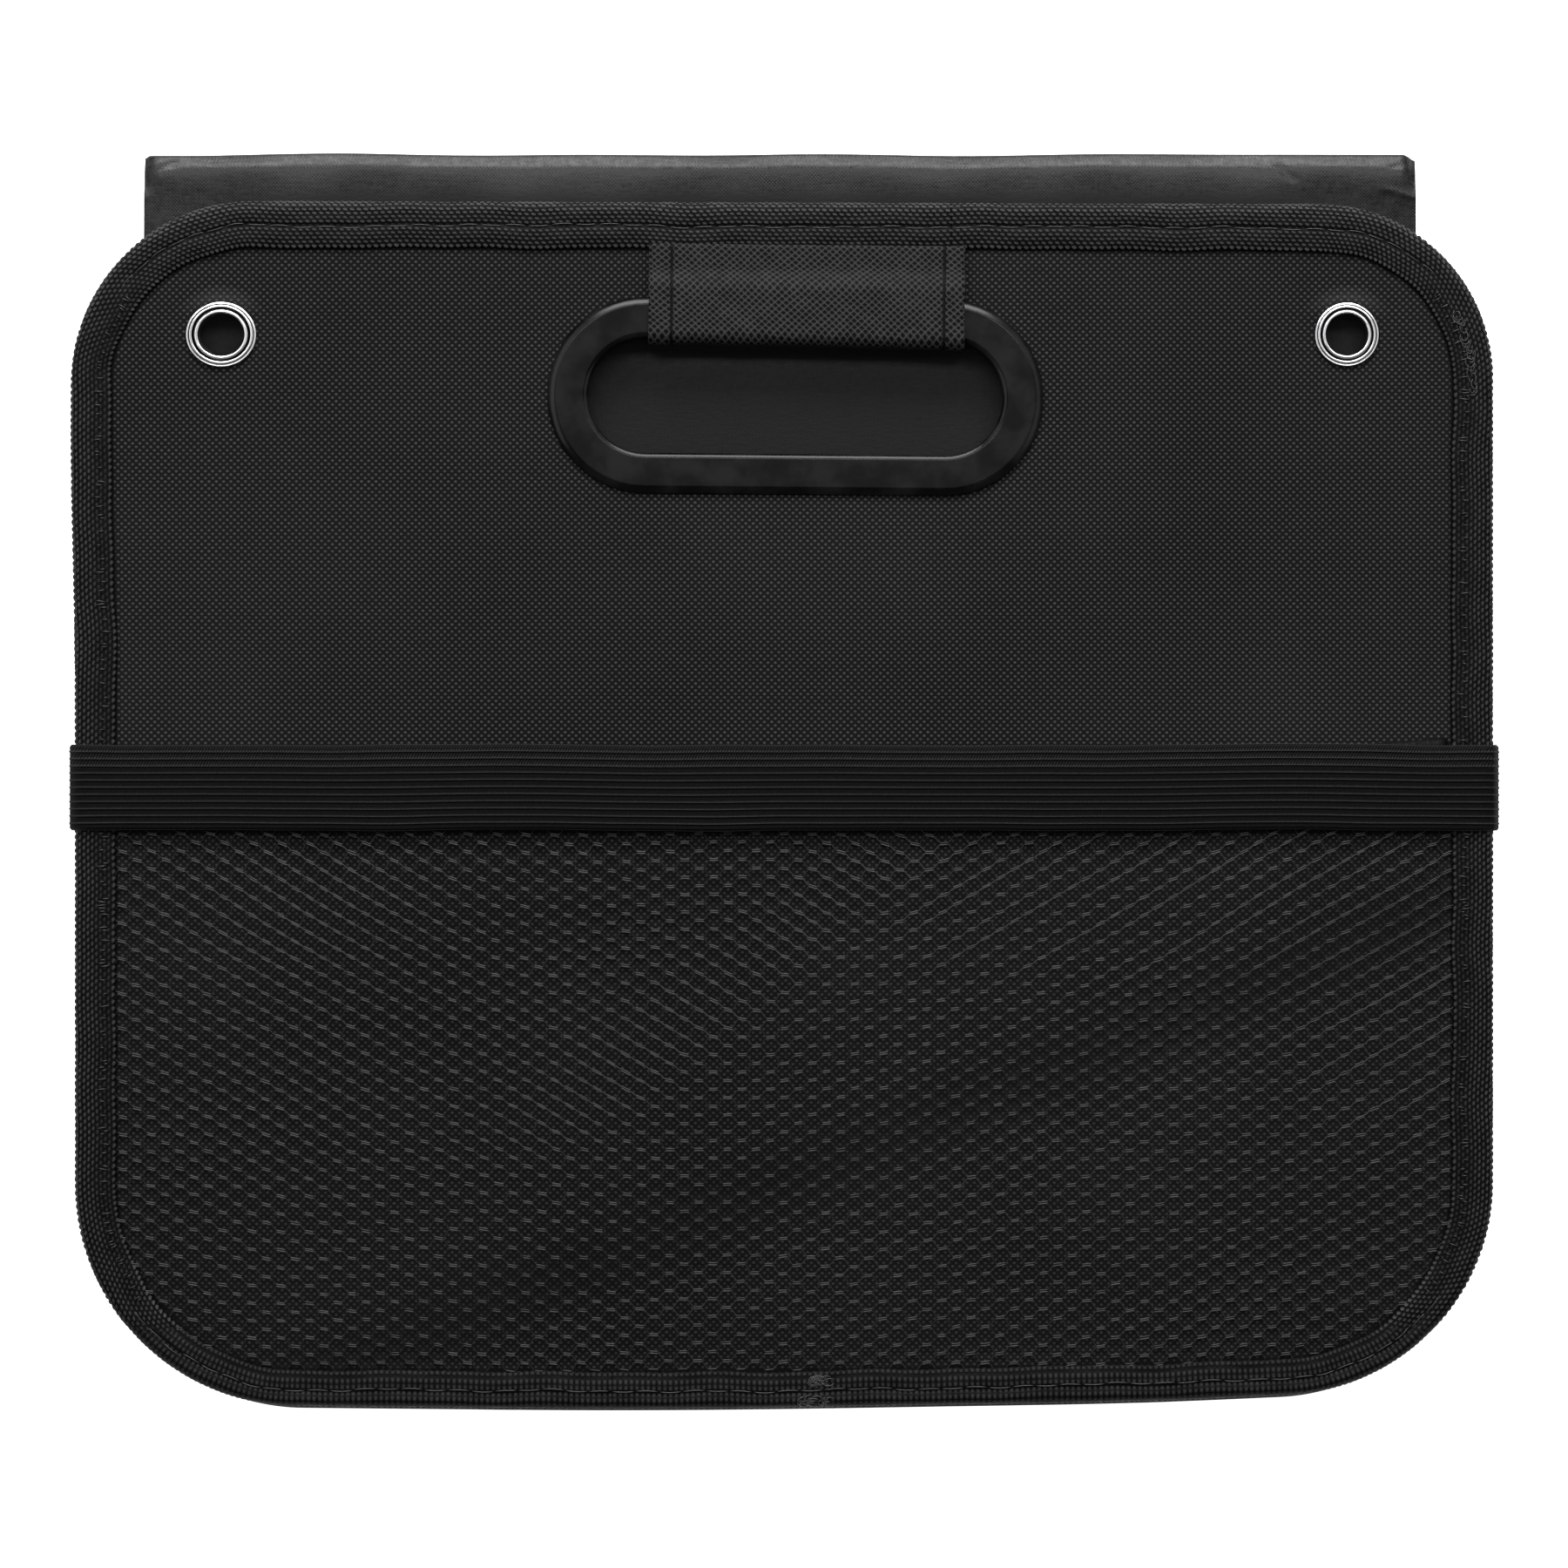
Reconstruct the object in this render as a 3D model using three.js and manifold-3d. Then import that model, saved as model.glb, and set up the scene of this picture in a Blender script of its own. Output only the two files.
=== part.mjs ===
// A foldable car boot organiser, folded flat and held shut by its elastic band.
// Two stiff end panels, edged with webbing tape, close like a book over a folded base, a cloth floor and
// two pleated cloth walls. The pack lies on its rear end panel, with the front end panel on top.
// Units are millimetres: +X across the panel, +Y towards its carrying edge, +Z up out of the front panel.
// The origin is on the surface that the pack lies on, under the middle of the pack.

import * as THREE from "three";
import { mergeVertices } from "three/addons/utils/BufferGeometryUtils.js";
import Module from "manifold-3d";

const wasm = await Module();
wasm.setup();

// End panels: a sewn rectangle, a little out of square, with four corner radii and a bowed bottom edge.
const panel = {
  width: 350,
  height: 298.5,
  topFall: 1, // how much lower the top edge is at its right end
  bottomRiseLeft: 1.5, // how much higher the bottom edge is at each end than at its lowest point
  bottomRiseRight: 5.8,
  bottomLowest: -17, // where the bottom edge is lowest, from the panel's middle
  bottomBow: 2500,
  cornerTopRight: 42,
  cornerTopLeft: 45,
  cornerBottomLeft: 56,
  cornerBottomRight: 52,
  rearDrop: 3, // how much lower the rear panel sits than the front one
};

// The plies of an end panel, from the inside out, with the air between them.
const ply = { lining: 0.6, board: 2.4, cover: 0.8, gap: 0.1 };

// Webbing tape folded round the panel's edge.
const tape = { thickness: 1.1, lap: 10.5, clearance: 0.1, edgeRound: 2 };

// Plastic grip frame: a front ring with a collar through the panel, and a back ring.
const grip = {
  fromTop: 48.2, // from the panel's top edge down to the middle of the frame
  offset: 2.8, // to the right of the panel's middle
  tilt: -0.5, // degrees
  holeLength: 102.5,
  holeHeight: 28.5,
  ringWidth: 10,
  ringThickness: 1.6,
  backThickness: 1.2,
  edgeRound: 0.6,
  collarWall: 1.4,
  clearance: 0.3,
};

// Cloth sleeve that wraps the frame's top bar, from the tape in front to the tape behind. Its outer face
// stands as far out as the elastic band's, so that the pack lies flat on both.
const sleeve = {
  width: 78.7,
  offset: 3.4, // to the right of the frame's middle
  thickness: 1,
  clearance: 0.25,
  slack: 1.5, // how far it hangs below the bar, clear of the hole's round ends
  seam: 6.6, // length of the sewn end that lies flat on the panel
  ramp: 4, // length of the slope up to the frame
  bend: 1.3, // radius of the sleeve's middle line at its folds
  tapeClearance: 0.8,
};

// Metal eyelets, one near each top corner, each set through a washer.
const eyelet = {
  fromSide: 36,
  fromTop: 32.9,
  holeRadius: 5.4,
  wall: 0.5,
  rimRadius: 8.2,
  rimHeight: 0.9,
  lipWidth: 1,
  curlHeight: 0.4,
  clearance: 0.2,
  segments: 20,
};
const washer = { thickness: 0.6, radius: 7.9 };

// Net pocket on the front panel, drawn with open cells that are coarser than the real knit's.
const net = { thickness: 0.6, cell: 24, strand: 3.4, rim: 3 };
const hem = { fromTop: 133.6, height: 10, thickness: 1 };

// Elastic band round the whole pack.
const band = {
  fromTop: 144.4, // from the panel's top edge down to the middle of the band
  width: 20.5,
  thickness: 1.2,
  ribs: 12,
  ribWidth: 1.1,
  ribHeight: 0.25,
  clearance: 0.3,
};

// Folding base: a nylon envelope with two stiff boards, folded like a tent, its fold above the panels.
const base = {
  rise: 12.5, // the fold above the panel's top edge
  skin: 0.6,
  board: 3,
  boardClearance: 0.1,
  tentGap: 6.6, // between the two legs
  boardStop: 12, // from the fold's top to the boards
  seam: 1.2, // the envelope's closed side edges
  fromSleeve: 0.3, // air between the envelope and the sleeves' inner faces
};

// Body cloth: how far the walls stand in from the panel's sides, and how far in the cloth is sewn to the tape.
const body = { inset: 16.6, offset: -1, cloth: 0.6, clearance: 0.3, seamInset: 5, bend: 1.4 };
const floorCloth = { fromBottom: 16, layer: 2.6, fromFold: 20 };
const wall = { fromBottom: 21, fromTop: 12, pleatStop: 15, layer: 1.1, pleatBend: 0.55 };

// Smoothness of round outlines, in segments for half an arc.
const CORNER_SEGMENTS = 4;
const RING_SEGMENTS = 6;
const FOLD_SEGMENTS = 4;

const colours = {
  cover: ["#1d1d1e", 0.82, 0],
  lining: ["#242425", 0.7, 0],
  board: ["#6d655a", 0.9, 0],
  tape: ["#1a1a1b", 0.75, 0],
  plastic: ["#1e1e1f", 0.45, 0],
  sleeve: ["#262627", 0.8, 0],
  metal: ["#c9cacc", 0.18, 1],
  net: ["#161617", 0.6, 0],
  elastic: ["#171718", 0.7, 0],
  nylon: ["#2a2a2b", 0.5, 0],
};
const materials = Object.fromEntries(
  Object.entries(colours).map(([name, [color, roughness, metalness]]) => [
    name,
    new THREE.MeshStandardMaterial({ color, roughness, metalness }),
  ]),
);

// Heights in a panel's own frame: 0 is the lining's inner face, and outwards is up.
const boardBottom = ply.lining + ply.gap;
const coverBottom = boardBottom + ply.board + ply.gap;
const stackTop = coverBottom + ply.cover;
const onCover = stackTop + ply.gap;
const tapeTop = stackTop + tape.clearance + tape.thickness;
const tapeBottom = -tape.clearance - tape.thickness;
const ringTop = onCover + grip.ringThickness;
const backBottom = -ply.gap - grip.backThickness;
const sleeveTop = ringTop + sleeve.clearance + sleeve.thickness;
const sleeveBottom = backBottom - sleeve.clearance - sleeve.thickness;

// Heights in the pack's frame: 0 is halfway between the two panels.
const legThickness = base.board + 2 * base.boardClearance + 2 * base.skin;
const baseHalf = base.tentGap / 2 + legThickness;
const panelInner = baseHalf + base.fromSleeve - sleeveBottom;

// Lines across the panel: 0 is halfway up it.
const halfWidth = panel.width / 2;
const top = panel.height / 2;
const bottom = -panel.height / 2;
const bodyHalf = halfWidth - body.inset;
const gripY = top - grip.fromTop;
const plyInset = tape.thickness + tape.clearance;

const degrees = Math.PI / 180;

// Solids and meshes

function solidOf(geometry) {
  const loose = geometry.index ? geometry.toNonIndexed() : geometry.clone();
  loose.deleteAttribute("normal");
  loose.deleteAttribute("uv");
  const merged = mergeVertices(loose, 1e-4);
  return new wasm.Manifold(
    new wasm.Mesh({
      numProp: 3,
      vertProperties: merged.attributes.position.array,
      triVerts: new Uint32Array(merged.index.array),
    }),
  );
}

function geometryOf(solid) {
  const mesh = solid.getMesh();
  const geometry = new THREE.BufferGeometry();
  geometry.setAttribute("position", new THREE.BufferAttribute(mesh.vertProperties, 3));
  geometry.setIndex(new THREE.BufferAttribute(mesh.triVerts, 1));
  geometry.computeVertexNormals();
  return geometry;
}

function piece(name, geometry, material) {
  const mesh = new THREE.Mesh(geometry, material);
  mesh.name = name;
  return mesh;
}

// A flat plate of an outline, from one height to another.
function plate(shape, low, high, segments = CORNER_SEGMENTS) {
  const geometry = new THREE.ExtrudeGeometry(shape, {
    depth: high - low,
    bevelEnabled: false,
    curveSegments: segments,
  });
  return geometry.translate(0, 0, low);
}

// A plate whose edges are rounded within its outline.
function roundedPlate(shape, low, high, round, segments, steps = 3) {
  const geometry = new THREE.ExtrudeGeometry(shape, {
    depth: high - low - 2 * round,
    bevelEnabled: true,
    bevelThickness: round,
    bevelSize: round,
    bevelOffset: -round,
    bevelSegments: steps,
    curveSegments: segments,
  });
  return geometry.translate(0, 0, low + round);
}

// A shape drawn in Y and Z, and drawn out along X about the middle.
function alongX(shape, length, segments = FOLD_SEGMENTS) {
  const turn = new THREE.Matrix4().makeBasis(
    new THREE.Vector3(0, 1, 0),
    new THREE.Vector3(0, 0, 1),
    new THREE.Vector3(1, 0, 0),
  );
  return plate(shape, -length / 2, length / 2, segments).applyMatrix4(turn);
}

// A shape drawn in X and Z, and drawn out along Y between two lines.
function alongY(shape, low, high, segments = FOLD_SEGMENTS) {
  const turn = new THREE.Matrix4().makeBasis(
    new THREE.Vector3(1, 0, 0),
    new THREE.Vector3(0, 0, 1),
    new THREE.Vector3(0, -1, 0),
  );
  return plate(shape, -high, -low, segments).applyMatrix4(turn);
}

// Outlines

// The fillet at each of the panel's corners, anticlockwise from the top right: its centre, its radius and
// the directions in which its two straight edges face. The bottom edge bends in a long bow.
function panelFillets() {
  const corners = [
    [halfWidth, top - panel.topFall, panel.cornerTopRight],
    [-halfWidth, top, panel.cornerTopLeft],
    [-halfWidth, bottom + panel.bottomRiseLeft, panel.cornerBottomLeft],
    [panel.bottomLowest, bottom, panel.bottomBow],
    [halfWidth, bottom + panel.bottomRiseRight, panel.cornerBottomRight],
  ].map(([x, y, radius]) => ({ point: new THREE.Vector2(x, y), radius }));
  const count = corners.length;
  const facing = (from, to) => {
    const run = to.point.clone().sub(from.point).normalize();
    return new THREE.Vector2(run.y, -run.x);
  };
  return corners.map((corner, i) => {
    const before = facing(corners[(i + count - 1) % count], corner);
    const after = facing(corner, corners[(i + 1) % count]);
    const reachBefore = corner.point.dot(before) - corner.radius;
    const reachAfter = corner.point.dot(after) - corner.radius;
    const cross = before.x * after.y - before.y * after.x;
    const start = Math.atan2(before.y, before.x);
    const turn = Math.atan2(cross, before.dot(after));
    return {
      x: (reachBefore * after.y - reachAfter * before.y) / cross,
      y: (reachAfter * before.x - reachBefore * after.x) / cross,
      radius: corner.radius,
      start,
      end: start + turn,
    };
  });
}

// The panel's outline, drawn in by an inset.
function panelShape(inset) {
  const shape = new THREE.Shape();
  for (const fillet of panelFillets()) {
    shape.absarc(fillet.x, fillet.y, fillet.radius - inset, fillet.start, fillet.end, false);
  }
  shape.closePath();
  return shape;
}

// A slot outline with round ends, lying along X.
function slotPath(length, height, kind = THREE.Shape) {
  const radius = height / 2;
  const reach = length / 2 - radius;
  const path = new kind();
  path.absarc(reach, 0, radius, -Math.PI / 2, Math.PI / 2, false);
  path.absarc(-reach, 0, radius, Math.PI / 2, (3 * Math.PI) / 2, false);
  path.closePath();
  return path;
}

function slotRing(outerLength, outerHeight, width) {
  const shape = slotPath(outerLength, outerHeight);
  shape.holes.push(slotPath(outerLength - 2 * width, outerHeight - 2 * width, THREE.Path));
  return shape;
}

// A line with rounded corners: each corner is [across, up, radius], and the first and last are its ends.
function roundedLine(corners) {
  const points = corners.map(([x, y]) => new THREE.Vector2(x, y));
  const path = new THREE.Path();
  path.moveTo(points[0].x, points[0].y);
  for (let i = 1; i < points.length - 1; i++) {
    const radius = corners[i][2];
    const back = points[i - 1].clone().sub(points[i]).normalize();
    const ahead = points[i + 1].clone().sub(points[i]).normalize();
    const halfAngle = Math.acos(THREE.MathUtils.clamp(back.dot(ahead), -1, 1)) / 2;
    const reach = radius / Math.tan(halfAngle);
    const middle = back.clone().add(ahead).normalize();
    const centre = points[i].clone().addScaledVector(middle, radius / Math.sin(halfAngle));
    const from = points[i].clone().addScaledVector(back, reach).sub(centre);
    const to = points[i].clone().addScaledVector(ahead, reach).sub(centre);
    const clockwise = from.x * to.y - from.y * to.x < 0;
    path.absarc(centre.x, centre.y, radius, from.angle(), to.angle(), clockwise);
  }
  const last = points[points.length - 1];
  path.lineTo(last.x, last.y);
  return path.getPoints(FOLD_SEGMENTS);
}

// A strip of cloth of a given thickness that follows a line, as an outline.
function ribbon(line, thickness) {
  const clean = line.filter((p, i) => i === 0 || p.distanceTo(line[i - 1]) > 1e-6);
  const across = clean.map((p, i) => {
    const before = p.clone().sub(clean[Math.max(i - 1, 0)]).normalize();
    const after = clean[Math.min(i + 1, clean.length - 1)].clone().sub(p).normalize();
    const run = before.add(after).normalize();
    const step = i === 0 ? after : p.clone().sub(clean[i - 1]).normalize();
    const stretch = Math.max(run.dot(step), 0.5);
    return new THREE.Vector2(-run.y, run.x).multiplyScalar(thickness / 2 / stretch);
  });
  const left = clean.map((p, i) => p.clone().add(across[i]));
  const right = clean.map((p, i) => p.clone().sub(across[i]));
  return new THREE.Shape([...left, ...right.reverse()]);
}

// End panel

const gripPlace = new THREE.Matrix4()
  .makeRotationZ(grip.tilt * degrees)
  .setPosition(grip.offset, gripY, 0);
const eyeletPlaces = [
  ["left", -halfWidth + eyelet.fromSide],
  ["right", halfWidth - eyelet.fromSide],
];
const eyeletY = top - eyelet.fromTop;
const barrelRadius = eyelet.holeRadius + eyelet.wall;

// The hand hole and the two eyelet holes, as one tall cutter.
function panelCutter() {
  const low = tapeBottom;
  const high = tapeTop;
  const reach = 2 * (grip.collarWall + grip.clearance);
  const handHole = slotPath(grip.holeLength + reach, grip.holeHeight + reach);
  let cutter = solidOf(plate(handHole, low, high, RING_SEGMENTS).applyMatrix4(gripPlace));
  for (const [, x] of eyeletPlaces) {
    const hole = new THREE.Shape();
    hole.absarc(x, eyeletY, barrelRadius + eyelet.clearance, 0, 2 * Math.PI, false);
    cutter = cutter.add(solidOf(plate(hole, low, high, eyelet.segments / 2)));
  }
  return cutter;
}

function panelPly(low, thickness) {
  const sheet = solidOf(plate(panelShape(plyInset), low, low + thickness));
  return geometryOf(sheet.subtract(panelCutter()));
}

function edgeTape() {
  const whole = solidOf(roundedPlate(panelShape(0), tapeBottom, tapeTop, tape.edgeRound, CORNER_SEGMENTS));
  const room = solidOf(plate(panelShape(tape.thickness), -tape.clearance, stackTop + tape.clearance));
  const window = solidOf(plate(panelShape(tape.lap), tapeBottom - 1, tapeTop + 1));
  return geometryOf(whole.subtract(room).subtract(window));
}

// Grip frame, in its own frame: X along the hole, 0 at its middle.
const ringLength = grip.holeLength + 2 * grip.ringWidth;
const ringHeight = grip.holeHeight + 2 * grip.ringWidth;

function gripFront() {
  const ring = slotRing(ringLength, ringHeight, grip.ringWidth);
  const face = solidOf(roundedPlate(ring, onCover, ringTop, grip.edgeRound, RING_SEGMENTS));
  const collarShape = slotRing(
    grip.holeLength + 2 * grip.collarWall,
    grip.holeHeight + 2 * grip.collarWall,
    grip.collarWall,
  );
  const collarTop = onCover + grip.ringThickness - grip.edgeRound;
  const collar = solidOf(plate(collarShape, backBottom, collarTop, RING_SEGMENTS));
  return geometryOf(face.add(collar));
}

function gripBack() {
  const width = grip.ringWidth - grip.collarWall - grip.clearance;
  const ring = slotRing(ringLength, ringHeight, width);
  return roundedPlate(ring, backBottom, -ply.gap, grip.edgeRound / 2, RING_SEGMENTS, 1);
}

function gripSleeve() {
  const half = sleeve.thickness / 2;
  const tapeEdge = top - tape.lap - sleeve.tapeClearance - gripY;
  const seamEnd = tapeEdge - sleeve.seam;
  const rampEnd = seamEnd - sleeve.ramp;
  const fold = grip.holeHeight / 2 - sleeve.slack - half;
  const line = roundedLine([
    [tapeEdge, onCover + half],
    [seamEnd, onCover + half, sleeve.bend],
    [rampEnd, sleeveTop - half, sleeve.bend],
    [fold, sleeveTop - half, sleeve.bend],
    [fold, sleeveBottom + half, sleeve.bend],
    [rampEnd, sleeveBottom + half, sleeve.bend],
    [seamEnd, -ply.gap - half, sleeve.bend],
    [tapeEdge, -ply.gap - half],
  ]);
  return alongX(ribbon(line, sleeve.thickness), sleeve.width).translate(sleeve.offset, 0, 0);
}

// Eyelet: a barrel with a domed rim in front and a curled edge that holds the washer behind.
function eyeletBody() {
  const hole = eyelet.holeRadius;
  const rim = eyelet.rimRadius;
  const crown = onCover + eyelet.rimHeight;
  const shoulder = eyelet.rimHeight / 2;
  const curlTop = -ply.gap - washer.thickness - ply.gap;
  const profile = [
    [hole, curlTop - eyelet.curlHeight],
    [barrelRadius + eyelet.lipWidth, curlTop - eyelet.curlHeight],
    [barrelRadius + eyelet.lipWidth, curlTop],
    [barrelRadius, curlTop],
    [barrelRadius, onCover],
    [rim, onCover],
    [rim - shoulder / 2, crown - shoulder / 2],
    [rim - shoulder, crown],
    [barrelRadius + eyelet.lipWidth, crown],
    [barrelRadius + eyelet.lipWidth / 2, crown - shoulder / 2],
    [barrelRadius, crown],
    [hole, crown - shoulder / 2],
    [hole, curlTop - eyelet.curlHeight],
  ];
  return lathe(profile);
}

function eyeletWasher() {
  const inner = barrelRadius + eyelet.clearance;
  const low = -ply.gap - washer.thickness;
  return lathe([
    [inner, low],
    [washer.radius, low],
    [washer.radius, -ply.gap],
    [inner, -ply.gap],
    [inner, low],
  ]);
}

// A profile of [radius, height] points turned about Z.
function lathe(profile) {
  const points = profile.map(([r, z]) => new THREE.Vector2(r, z));
  return new THREE.LatheGeometry(points, eyelet.segments).rotateX(Math.PI / 2);
}

function endPanel(side) {
  const group = new THREE.Group();
  const { cover, lining, board, tape: webbing, plastic, sleeve: wrap, metal } = materials;
  group.add(piece(`${side}_lining`, panelPly(0, ply.lining), lining));
  group.add(piece(`${side}_board`, panelPly(boardBottom, ply.board), board));
  group.add(piece(`${side}_cover`, panelPly(coverBottom, ply.cover), cover));
  group.add(piece(`${side}_binding`, edgeTape(), webbing));

  const frame = new THREE.Group();
  frame.applyMatrix4(gripPlace);
  frame.add(piece(`${side}_grip_frame`, gripFront(), plastic));
  frame.add(piece(`${side}_grip_back_ring`, gripBack(), plastic));
  frame.add(piece(`${side}_grip_sleeve`, gripSleeve(), wrap));
  group.add(frame);

  for (const [place, x] of eyeletPlaces) {
    const ring = piece(`${side}_eyelet_${place}`, eyeletBody(), metal);
    const backing = piece(`${side}_eyelet_washer_${place}`, eyeletWasher(), metal);
    ring.position.set(x, eyeletY, 0);
    backing.position.set(x, eyeletY, 0);
    group.add(ring, backing);
  }
  return group;
}

// Net pocket

function hexagon(x, y, acrossFlats) {
  const radius = acrossFlats / Math.sqrt(3);
  const points = [0, 1, 2, 3, 4, 5].map((i) => {
    const angle = (i * Math.PI) / 3;
    return new THREE.Vector2(x + radius * Math.cos(angle), y + radius * Math.sin(angle));
  });
  return new THREE.Shape(points);
}

const hemTop = top - hem.fromTop;
const netTop = hemTop - hem.height - body.clearance;
const pocketInset = tape.lap + body.clearance;

// The panel below a line, drawn in by an inset, as a plate on the cover.
function pocketPlate(inset, upTo, low, high) {
  const whole = solidOf(plate(panelShape(inset), low, high));
  const size = panel.width + panel.height;
  const above = new THREE.BoxGeometry(size, size, size).translate(0, upTo + size / 2, 0);
  return whole.subtract(solidOf(above));
}

function pocketNet() {
  const low = onCover;
  const high = onCover + net.thickness;
  const columnPitch = (net.cell * Math.sqrt(3)) / 2;
  const columns = Math.ceil(halfWidth / columnPitch);
  const rows = Math.ceil(panel.height / net.cell);
  const cells = [];
  for (let column = -columns; column <= columns; column++) {
    const shift = column % 2 === 0 ? 0 : net.cell / 2;
    for (let row = 0; row <= rows; row++) {
      const y = netTop - row * net.cell - shift;
      cells.push(hexagon(column * columnPitch, y, net.cell - net.strand));
    }
  }
  const prisms = solidOf(plate(cells, low - 1, high + 1));
  const open = pocketPlate(pocketInset + net.rim, netTop - net.rim, low - 1, high + 1);
  return geometryOf(pocketPlate(pocketInset, netTop, low, high).subtract(prisms.intersect(open)));
}

function pocketHem() {
  const upper = pocketPlate(pocketInset, hemTop, onCover, onCover + hem.thickness);
  const lower = pocketPlate(0, hemTop - hem.height, onCover - 1, onCover + hem.thickness + 1);
  return geometryOf(upper.subtract(lower));
}

// Elastic band: a flat loop round the pack, with ribs along it.

function bandLoop(low, high, height) {
  const inner = band.clearance;
  const outline = (kind, offset) => {
    const x = halfWidth + offset;
    const z = panelInner + tapeTop + offset;
    const r = tape.edgeRound + offset;
    const path = new kind();
    path.absarc(x - r, z - r, r, 0, Math.PI / 2, false);
    path.absarc(-x + r, z - r, r, Math.PI / 2, Math.PI, false);
    path.absarc(-x + r, -z + r, r, Math.PI, 1.5 * Math.PI, false);
    path.absarc(x - r, -z + r, r, 1.5 * Math.PI, 2 * Math.PI, false);
    path.closePath();
    return path;
  };
  const shape = outline(THREE.Shape, inner + height);
  shape.holes.push(outline(THREE.Path, inner));
  return alongY(shape, low, high, 1);
}

function elasticBand() {
  const middle = top - band.fromTop;
  const pitch = band.width / band.ribs;
  const low = middle - band.width / 2;
  let loop = solidOf(bandLoop(low, low + band.width, band.thickness));
  for (let i = 0; i < band.ribs; i++) {
    const rib = low + (i + 0.5) * pitch;
    const half = band.ribWidth / 2;
    loop = loop.add(solidOf(bandLoop(rib - half, rib + half, band.thickness + band.ribHeight)));
  }
  return geometryOf(loop);
}

// Folding base: a tent of two legs joined by a round fold at the top, with its boards inside.

const foldTop = top + base.rise;
const clothBottom = bottom + floorCloth.fromBottom;
const legBottom = clothBottom + body.cloth / 2 + body.clearance;
const baseWidth = 2 * bodyHalf - 2 * body.clearance - body.cloth;

// A tent outline in Y and Z, its outer face at a given distance from the middle plane.
function tentShape(outer, inner, low) {
  const centre = foldTop - baseHalf;
  const shape = new THREE.Shape();
  shape.moveTo(low, outer);
  shape.lineTo(low, inner);
  shape.absarc(centre, 0, inner, Math.PI / 2, -Math.PI / 2, true);
  shape.lineTo(low, -inner);
  shape.lineTo(low, -outer);
  shape.absarc(centre, 0, outer, -Math.PI / 2, Math.PI / 2, false);
  shape.closePath();
  return shape;
}

function baseEnvelope() {
  const skinOuter = baseHalf - base.skin;
  const skinInner = base.tentGap / 2 + base.skin;
  const tent = solidOf(alongX(tentShape(baseHalf, base.tentGap / 2, legBottom), baseWidth, 6));
  const room = tentShape(skinOuter, skinInner, legBottom - 1);
  return geometryOf(tent.subtract(solidOf(alongX(room, baseWidth - 2 * base.seam, 6))));
}

function baseBoard() {
  const width = baseWidth - 2 * base.seam - 2 * base.boardClearance;
  const low = legBottom;
  const high = foldTop - base.boardStop;
  return new THREE.BoxGeometry(width, high - low, base.board).translate(0, (low + high) / 2, 0);
}

// The body cloth's sewn edges lie on the tape's inner laps, and follow the panel's outline.
const clothSeam = panelInner + tapeBottom - (body.clearance + body.cloth) / 2;

function trimmedToSeam(sheet) {
  const outline = plate(panelShape(body.seamInset), -panelInner, panelInner);
  return geometryOf(solidOf(sheet).intersect(solidOf(outline)));
}

// Cloth floor: sewn to the lower edge of both panels, and folded up inside the tent.
function floorSheet() {
  const foldY = foldTop - floorCloth.fromFold;
  const layer = floorCloth.layer;
  const half = [
    [bottom, clothSeam],
    [clothBottom, clothSeam, body.bend],
    [clothBottom, layer, body.bend],
    [foldY, layer, layer],
  ];
  const mirrored = half.map(([y, z, r]) => [y, -z, r]).reverse();
  const line = roundedLine([...half, ...mirrored]);
  return trimmedToSeam(alongX(ribbon(line, body.cloth), baseWidth));
}

// Cloth wall: sewn to the panels' sides, round the side of the tent, with two pleats tucked into it.
function wallSheet(side) {
  const outerZ = wall.layer + wall.pleatBend;
  const innerZ = wall.layer - wall.pleatBend;
  const half = [
    [halfWidth, clothSeam],
    [bodyHalf, clothSeam, body.bend],
    [bodyHalf, outerZ, wall.pleatBend],
    [wall.pleatStop, outerZ, wall.pleatBend],
    [wall.pleatStop, innerZ, wall.pleatBend],
    [bodyHalf - body.clearance, innerZ, innerZ],
  ];
  const mirrored = half.map(([x, z, r]) => [x, -z, r]).reverse();
  const line = roundedLine([...half, ...mirrored]).map((p) => new THREE.Vector2(side * p.x, p.y));
  return trimmedToSeam(alongY(ribbon(line, body.cloth), bottom + wall.fromBottom, top - wall.fromTop));
}

// The pack

const organiser = new THREE.Group();

const front = endPanel("front");
front.add(piece("front_pocket_net", pocketNet(), materials.net));
front.add(piece("front_pocket_hem", pocketHem(), materials.tape));
front.position.z = panelInner;

const rear = endPanel("rear");
rear.scale.z = -1;
rear.position.set(0, -panel.rearDrop, -panelInner);

const inside = new THREE.Group();
inside.add(piece("base_envelope", baseEnvelope(), materials.nylon));
for (const [name, sign] of [["front", 1], ["rear", -1]]) {
  const board = piece(`base_board_${name}`, baseBoard(), materials.board);
  board.position.z = sign * (base.tentGap / 2 + legThickness / 2);
  inside.add(board);
}
inside.add(piece("floor_cloth", floorSheet(), materials.nylon));
inside.add(piece("wall_left", wallSheet(-1), materials.nylon));
inside.add(piece("wall_right", wallSheet(1), materials.nylon));
inside.position.x = body.offset;

organiser.add(front, rear, inside, piece("elastic_band", elasticBand(), materials.elastic));

// The origin goes under the middle of the pack.
const extent = new THREE.Box3().setFromObject(organiser, true);
organiser.position.set(0, -(extent.min.y + extent.max.y) / 2, -extent.min.z);

export default organiser;
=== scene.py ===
"""A foldable car boot organiser, folded flat and held shut by its elastic band.

Everything is in metres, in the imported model's frame: +X across the panel, +Y towards its carrying edge and
+Z up out of the front panel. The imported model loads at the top, and each operator dresses one part of it.
"""

import math

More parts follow.
